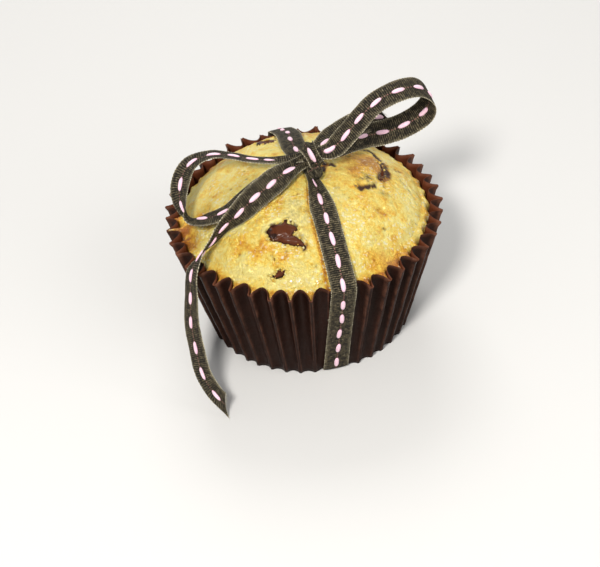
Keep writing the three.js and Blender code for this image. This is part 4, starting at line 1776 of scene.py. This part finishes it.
@dataclass
class Bow:
    """The ribbon: the band round the muffin, two loops, two tails and the knot.

    A row of a route is a point and the direction across the ribbon there.
    """

    case: FlutedCase
    dome: Dome
    width: float = 6.8
    thickness: float = 0.45
    gap: float = 0.3
    gathered_width: float = 3.6
    knot_centre: tuple[float, float, float] = (3.3, -1.5, 55.0)
    knot_axis: tuple[float, float, float] = (0.9, 0.27, 0.34)
    knot_reach: tuple[float, float] = (3.1, 3.0)
    core_size: tuple[float, float, float] = (3.1, 3.1, 2.7)
    tuck: tuple[float, float, float] = (3.8, -4.9, 52.4)
    tuck_heading: tuple[float, float, float] = (0.35, -0.9, -0.25)
    tuck_size: tuple[float, float, float] = (2.7, 1.75, 1.3)
    bare_at_knot: float = 2.6
    band_bare_at_knot: float = 3.5
    wrap_width: float = 3.9
    core_folds: float = 0.11
    tuck_folds: float = 0.2
    band_step: float = 0.5
    tug: float = 1.3
    tug_at: float = -11.0
    tug_reach: float = 9.5
    front_gather: Numbers = (2.6, 0.44, 6)
    back_gather: Numbers = (5.2, 0.3, 2)
    fray_threads: int = 16
    fray_radius: float = 0.07
    edge_hair_gap: float = 16.0
    edge_hair_radius: float = 0.04
    right_loop: Rows = (
        (0.5, -1.4, 55, -0.36, 0.88, 0.31), (3.5, -1, 55.5, -0.36, 0.88, 0.31),
        (8.5, -1, 56, -0.46, 0.85, 0.28), (13, 0, 60, -0.52, 0.83, 0.21), (17, 1.5, 64, -0.51, 0.84, 0.19),
        (21.5, 3.5, 67.5, -0.46, 0.86, 0.22), (28, 6, 69, -0.4, 0.85, 0.33),
        (33.5, 9, 67.5, -0.3, 0.87, 0.38), (37, 12, 62, -0.36, 0.78, 0.51),
        (35.5, 13.5, 56, -0.46, 0.66, 0.6), (30, 13, 52.5, -0.5, 0.57, 0.65),
        (23.5, 11.5, 51.5, -0.35, 0.61, 0.71), (18, 8.7, 52.8, -0.31, 0.7, 0.65),
        (13, 4.6, 54.2, -0.36, 0.81, 0.46), (5, 0.1, 54.5, -0.36, 0.88, 0.31),
        (0.5, -1.4, 54.2, -0.36, 0.88, 0.31),
    )
    left_loop: Rows = (
        (2, -1.5, 55, 0, 0.97, -0.24), (-5, -1, 54, 0, 0.94, -0.34), (-13, 1, 53.5, 0.05, 0.92, -0.38),
        (-19, 3.5, 53.5, 0, 0.93, -0.37), (-24.5, 4.5, 53.5, -0.2, 0.94, -0.29),
        (-30.5, 3.5, 51.5, -0.61, 0.76, -0.23), (-33.5, 0, 47.5, -0.8, 0.45, -0.39),
        (-33.5, -4.5, 44, -0.55, 0.63, -0.55), (-31.5, -8, 42, -0.2, 0.83, -0.52),
        (-27, -11, 43.5, -0.1, 0.96, -0.24), (-21.5, -12, 46, -0.1, 0.98, -0.16),
        (-16.5, -9.6, 48.6, -0.05, 0.99, -0.12), (-9, -5.2, 51, -0.05, 0.99, -0.12),
        (2, -1.8, 53.6, 0, 0.99, -0.13),
    )
    left_tail: Rows = (
        (2, -2, 54.5, -0.67, 0.63, 0.41), (-3.5, -6, 54, -0.65, 0.5, 0.57),
        (-8.5, -9.5, 52.5, -0.64, 0.42, 0.64), (-13, -13, 51, -0.61, 0.24, 0.76),
        (-17.5, -16.5, 49, -0.52, -0.1, 0.85), (-22, -18.5, 46, -0.33, -0.52, 0.79),
        (-25, -20.5, 43, -0.18, -0.66, 0.73), (-28, -22, 40.5, 0.1, -0.74, 0.67),
        (-31, -25.5, 37.5, 0.45, -0.76, 0.46), (-32, -28.5, 30.5, 0.55, -0.72, 0.43),
        (-32.5, -31, 24, 0.59, -0.61, 0.53), (-32, -33.5, 17, 0.61, -0.53, 0.59),
        (-31, -36.5, 10.5, 0.6, -0.41, 0.69), (-28.5, -40, 6.5, 0.58, -0.36, 0.73),
        (-25.0, -43.7, 4.2, 0.6, -0.42, 0.68),
    )
    right_tail: Rows = (
        (0.5, -1.2, 54.6, -0.45, 0.83, 0.34), (3.5, 0, 55, -0.45, 0.83, 0.34),
        (9, 5, 55.5, -0.51, 0.76, 0.41), (15, 10, 55.5, -0.5, 0.64, 0.58),
        (21, 14.5, 54.5, -0.35, 0.61, 0.71), (25.5, 17, 53, -0.2, 0.64, 0.74),
    )
    band_stitches: Numbers = (
        117.8, 123.9, 131.3, 138.0, 144.4, 150.5, 157.0, 162.8, 171.0, 179.0, 187.3, 196.3, 205.4,
    )
    right_loop_stitches: Numbers = (8.1, 14.1, 19.9, 26.1, 33.1, 40.0, 46.3, 53.6, 60.4, 67.0, 73.6)
    left_loop_stitches: Numbers = (5.7, 10.3, 15.4, 20.9, 26.6, 33.1, 40.1, 46.7, 55.2, 62.0, 67.3, 73.4)
    left_tail_stitches: Numbers = (
        6.4, 12.9, 18.9, 25.0, 30.8, 35.7, 40.6, 46.5, 52.9, 59.9, 67.4, 75.0, 82.2,
    )

    def routed(self, name: str, rows: Rows, both_ends: bool, **more: Any) -> Strap:
        """Lays a strap that leaves the knot gathered.

        Args:
            name: Its name.
            rows: Its route.
            both_ends: Whether it comes back to the knot.
            **more: Other fields of the strap.

        Returns:
            The strap.
        """
        shares, table = np.linspace(0, 1, 260), np.array(rows, float)
        points, across = smooth_line(table[:, :3], shares), smooth_line(table[:, 3:], shares)
        run = running_lengths(points)
        from_knot = np.minimum(run, run[-1] - run) if both_ends else run
        widths = self.gathered_width + (self.width - self.gathered_width) * smooth_step(2.5, 12.0, from_knot)
        bare = (self.bare_at_knot, self.bare_at_knot * both_ends)
        return Strap(name, points, across, widths, bare=bare, **more)

    def band_profile(self) -> Array:
        """Works out the taut outline of the band, anticlockwise.

        Returns:
            Distances along the band and heights.
        """
        case, clearance = self.case, self.gap + self.thickness / 2
        beside = np.linspace(-0.5, 0.5, 5) * self.width + case.band_shift
        spots = []
        for along in np.arange(-30, 30.1, 1.5):
            spots.append((along, self.dome.top(*case.spots(along, beside)).max() + clearance))
        for side, press in ((-1, case.press_back), (1, case.press_front)):
            rim = case.ridge_rim - case.depth_rim * (press - 0.12) + clearance
            foot = case.ridge_base - case.depth_base * (press - 0.12) + clearance
            brim = case.height + case.trough_rise + clearance
            spots += [(side * rim, case.height - 1), (side * (rim - 0.6), brim)]
            spots += [(side * (foot + 0.4), 1.6), (side * (foot - 0.2), self.thickness / 2)]
        spots.sort()
        outline: list[tuple[float, float]] = []
        for ordered in (spots, spots[::-1]):
            chain: list[tuple[float, float]] = []
            for spot in ordered:
                while len(chain) > 1 and self.bends_in(chain[-2], chain[-1], spot):
                    chain.pop()
                chain.append(spot)
            outline += chain[:-1]
        return np.array(outline)

    @staticmethod
    def bends_in(first: tuple[float, float], middle: tuple[float, float], last: tuple[float, float]) -> bool:
        """Whether three points turn to the right or not at all."""
        turn = (middle[0] - first[0]) * (last[1] - first[1]) - (middle[1] - first[1]) * (last[0] - first[0])
        return turn <= 0

    def band(self) -> Strap:
        """Lays the band, taut over the crust, down both sides and flat under the base.

        Returns:
            The strap.
        """
        outline = self.band_profile()
        ring = np.vstack([outline, outline[:1]])
        run = running_lengths(ring)
        spots = np.linspace(0, run[-1], int(run[-1] / self.band_step), endpoint=False)
        profile = together(np.interp(spots, run, ring[:, 0]), np.interp(spots, run, ring[:, 1]))
        along, z = softened(profile, 3).T
        tug = self.tug * hump(along - self.tug_at, self.tug_reach) * smooth_step(38, 44, z)
        x, y = self.case.spots(along, self.case.shift_at(z) - tug)
        points = together(x, y, z)
        across = np.tile([*-self.case.across_band, 0.0], (len(points), 1))
        front, back = (
            least + growth * np.maximum(0, away - start)
            for away, (least, growth, start) in ((along, self.front_gather), (-along, self.back_gather))
        )
        gathered = np.minimum(np.where(along > 0, front, back), self.width)
        widths = softened(np.where(z > self.case.height, gathered, self.width), 4)
        at_knot = running_lengths(points)[1:][np.argmin(np.hypot(along[:-1] - 1, z[:-1] - 51.5))]
        bare = (at_knot - self.band_bare_at_knot, at_knot + self.band_bare_at_knot)
        return Strap("band", points, across, widths, True, seed=5, bare=bare, stitch_at=self.band_stitches)

    def knot_directions(self) -> tuple[Array, Array, Array]:
        """Finds how the knot lies.

        Returns:
            Directions along the knot, downwards and out of it, square to one another.
        """
        axis = unit(np.array(self.knot_axis))
        out = unit(np.cross(np.cross(axis, TO_CAMERA), axis))
        return axis, np.cross(out, axis), out

    def wrap(self) -> Strap:
        """Lays the turn of ribbon round the middle of the knot, folded narrow.

        Returns:
            The strap.
        """
        axis, down, out = self.knot_directions()
        spin = turns(96)[:, None]
        wobble = 1 + 0.05 * np.sin(2 * spin + 0.6) + 0.03 * np.sin(5 * spin)
        reach_down, reach_out = self.knot_reach
        ring = reach_down * np.cos(spin) * down + reach_out * np.sin(spin) * out
        points = self.knot_centre + wobble * ring
        lean = axis + 0.22 * np.sin(spin + 0.8) * down
        widths = self.wrap_width + 0.4 * np.sin(spin[:, 0] * 2 + 1.1)
        return Strap("knot_wrap", points, lean, widths, closed=True, seed=6, stitch_at=(5.0, 15.0))

    def crumple(
        self, shell: Shell, centre: Numbers, axes: tuple[Array, ...], sizes: Numbers, depth: float
    ) -> None:
        """Adds a ball of folded ribbon.

        Args:
            shell: The mesh that it goes in.
            centre: Its middle.
            axes: Three directions, the folds running along the first.
            sizes: Its half length in each direction.
            depth: How deep the folds are, as a share of its size.
        """
        rows, columns = 26, 60
        lean, spin = np.linspace(-1.35, 1.35, rows)[:, None], turns(columns)
        folds = 1 + depth * np.sin(7 * spin + 3 * lean) + 0.45 * depth * np.sin(13 * spin - 4 * lean)
        size = np.cos(lean) * folds
        shares = together(np.sin(lean), size * np.cos(spin), size * np.sin(spin)) * sizes
        grid = centre + shares @ np.array(axes)
        points = np.vstack([grid.reshape(-1, 3), grid[0].mean(0), grid[-1].mean(0)])
        weave = np.vstack([together(4.6 * spin, 3 * lean, 0).reshape(-1, 3), np.zeros((2, 3))])
        creased = np.r_[0.7 * (folds > 1 + 0.9 * depth).ravel(), 0, 0]
        shell.add(points, capped_faces(rows, columns), weave=weave, edge=creased)

    def core(self, shell: Shell) -> None:
        """Adds the crumpled folds inside the knot, and the tuck below it where the band begins.

        Args:
            shell: The mesh that they go in.
        """
        self.crumple(shell, self.knot_centre, self.knot_directions(), self.core_size, self.core_folds)
        forward = unit(np.array(self.tuck_heading))
        side = unit(np.cross([0, 0, 1.0], forward))
        axes = (forward, side, np.cross(forward, side))
        self.crumple(shell, self.tuck, axes, self.tuck_size, self.tuck_folds)

    def straps(self) -> list[Strap]:
        """Lays every length of the ribbon.

        Returns:
            The straps, outermost last.
        """
        return [
            self.band(),
            self.routed("right_tail", self.right_tail, False, cut=2.6, seed=4, stitch_at=(8.0,)),
            self.routed("right_loop", self.right_loop, True, seed=1, stitch_at=self.right_loop_stitches),
            self.routed("left_loop", self.left_loop, True, seed=2, stitch_at=self.left_loop_stitches),
            self.routed(
                "left_tail", self.left_tail, False, cut=2.1, seed=3, stitch_at=self.left_tail_stitches
            ),
            self.wrap(),
        ]

    def frays(self, shell: Shell, straps: list[Strap]) -> None:
        """Adds loose threads at the cut ends, and a few along the edges.

        Args:
            shell: The mesh that they go in.
            straps: The ribbon's lengths.
        """
        chance = np.random.default_rng(23)
        for strap in (one for one in straps if one.cut):
            for side in np.linspace(-0.95, 0.95, self.fray_threads):
                along = np.array([strap.length - 0.3, strap.length])
                root, end = strap.place(along, np.full(2, side), np.zeros(2))
                ahead = unit(end - root) * chance.uniform(0.3, 1.3)
                stray = chance.normal(0, 0.16, 3)
                line = np.array([root, end, end + 0.6 * ahead, end + ahead + stray])
                hair(shell, line, self.fray_radius)
        for strap in straps:
            for _ in range(int(strap.length / self.edge_hair_gap)):
                along, side = chance.uniform(4, strap.length - 4), chance.choice([-1.0, 1.0])
                spots = np.array([along, along + chance.uniform(-0.8, 0.8)])
                root, beside = strap.place(spots, np.array([side, side * 1.1]), np.zeros(2))
                stray = chance.normal(0, 0.3, 3)
                line = np.array([root, beside, beside + 0.5 * stray, beside + stray])
                hair(shell, line, self.edge_hair_radius)

    def build(self, ribbon: Material, edging: Material, stitching: Material) -> list[Strap]:
        """Makes the bow.

        Args:
            ribbon: The woven strip's finish.
            edging: The edge threads' finish.
            stitching: The stitches' finish.

        Returns:
            The straps, for the crust that lies under them.
        """
        straps = self.straps()
        for strap in straps:
            strip, threads, stitches = Shell(), Shell(), Shell()
            strap.body(strip)
            strap.edging(threads)
            strap.stitches(stitches)
            strip.piece(f"ribbon_{strap.name}", ribbon, "ribbon", "ribbon")
            threads.piece(f"edging_{strap.name}", edging, "ribbon")
            stitches.piece(f"stitches_{strap.name}", stitching, "ribbon")
        folds, loose = Shell(), Shell()
        self.core(folds)
        folds.piece("ribbon_knot_folds", ribbon, "ribbon", "ribbon")
        self.frays(loose, straps)
        loose.piece("loose_threads", edging, "ribbon")
        return straps


# Studio


@dataclass(frozen=True)
class Light:
    """One soft square light that faces the muffin: its place and side in metres, and its power in watts."""

    name: str
    place: tuple[float, float, float]
    size: float
    power: float
    warmth: float = 0.0

    def build(self) -> None:
        """Adds the light."""
        data = bpy.data.lights.new(self.name, "AREA")
        data.shape, data.size, data.energy = "SQUARE", self.size, self.power
        data.color = (1, 1 - 0.5 * self.warmth, 1 - self.warmth)
        light = bpy.data.objects.new(self.name, data)
        light.location = self.place
        light.rotation_mode = "QUATERNION"
        light.rotation_quaternion = (Vector((0, 0, 0.035)) - Vector(self.place)).to_track_quat("-Z", "Y")
        bpy.context.scene.collection.objects.link(light)


@dataclass
class Studio:
    """Pale floor, soft lights, and the camera at the photograph's angle."""

    elevation: float = 41.0
    distance: float = 450.0
    roll: float = 4.35
    rim_height: float = 36.0
    off_right: float = 2.55
    off_up: float = 21.05
    focal_pixels: float = 1603.8
    frame_width: int = 600
    sensor: float = 36.0
    sky: Colour = (0.95, 0.97, 1.0, 1.0)
    sky_strength: float = 0.41
    floor_reach: float = 3.0
    lights: tuple[Light, ...] = (
        Light("key", (-0.17, -0.5, 0.6), 0.13, 7.1, 0.03),
        Light("fill", (0.5, -0.35, 0.42), 0.5, 2.1),
        Light("back", (-0.05, 0.6, 0.55), 0.4, 3.3),
    )

    def camera(self) -> None:
        """Sets the camera."""
        lean, roll = math.radians(self.elevation), math.radians(self.roll)
        back = Vector((0, -math.cos(lean), math.sin(lean)))
        right = Vector((1, 0, 0))
        up = back.cross(right)
        aim = Vector((0, 0, self.rim_height)) - right * self.off_right - up * self.off_up
        place = back * self.distance + aim
        turned_right = right * math.cos(roll) - up * math.sin(roll)
        turned_up = right * math.sin(roll) + up * math.cos(roll)
        data = bpy.data.cameras.new("camera")
        data.sensor_width = self.sensor
        data.lens = self.focal_pixels / self.frame_width * self.sensor
        data.clip_start, data.clip_end = 0.01, 20
        camera = bpy.data.objects.new("camera", data)
        facing = Matrix((turned_right, turned_up, back)).transposed().to_4x4()
        camera.matrix_world = Matrix.Translation(place * MM) @ facing
        bpy.context.scene.collection.objects.link(camera)
        bpy.context.scene.camera = camera

    def floor(self) -> None:
        """Lays the floor."""
        mesh, reach = bpy.data.meshes.new("floor"), self.floor_reach
        corners = [(-reach, -reach, 0), (reach, -reach, 0), (reach, reach, 0), (-reach, reach, 0)]
        mesh.from_pydata(corners, [], [(0, 1, 2, 3)])
        mesh.materials.append(FloorFinish("floor", {"Roughness": 0.8}).material())
        floor = bpy.data.objects.new("floor", mesh)
        bpy.context.scene.collection.objects.link(floor)

    def build(self) -> None:
        """Makes the camera, the lights, the floor and the sky."""
        self.camera()
        for light in self.lights:
            light.build()
        self.floor()
        world = bpy.data.worlds.new("studio")
        world.use_nodes = True
        background = world.node_tree.nodes["Background"]
        background.inputs["Color"].default_value = self.sky
        background.inputs["Strength"].default_value = self.sky_strength
        bpy.context.scene.world = world
        bpy.context.scene.view_settings.view_transform = "Standard"


def main() -> None:
    """Builds the studio and the pieces in order."""
    logging.basicConfig(level=logging.INFO, format="%(message)s")
    Studio().build()
    case, dome = FlutedCase(), Dome()
    scatter = {"Subsurface Weight": 0.06, "Subsurface Radius": (1.0, 0.7, 0.35), "Subsurface Scale": 0.001}
    crust = CrustFinish("crust", {**scatter, "Coat Roughness": 0.16})
    paper = PaperFinish("baking paper", {"Specular IOR Level": 0.1, "Specular Tint": (1.0, 0.7, 0.55, 1.0)})
    ribbon = RibbonFinish("ribbed ribbon", {"Specular IOR Level": 0.18})
    stitching = ThreadFinish("stitching thread", {"Sheen Weight": 0.3})
    # Edge thread: a pale colour, and a dark one for painted shade along random stretches and between strands.
    pale, shade = srgb(212, 201, 170), srgb(48, 42, 31)
    edging = ThreadFinish("edge thread", {"Specular IOR Level": 0.3}, pale, shade, 0.8, 1.0, 0.9)
    gloss = {"Coat Weight": 0.14, "Coat Roughness": 0.08, "Specular IOR Level": 0.12}
    chocolate = ChocolateFinish("chocolate", {**gloss, "Specular Tint": (1.0, 0.85, 0.75, 1.0)})
    straps = Bow(case, dome).build(ribbon.material(), edging.material(), stitching.material())
    baked = crust.material()
    Crumb(case, dome).build(baked, straps[:-1])
    Crumbs(dome).build(baked)
    PaperCase(case).build(paper.material())
    melted = chocolate.material()
    for chunk in CHUNKS:
        chunk.build(dome, melted)


if __name__ == "__main__":
    main()
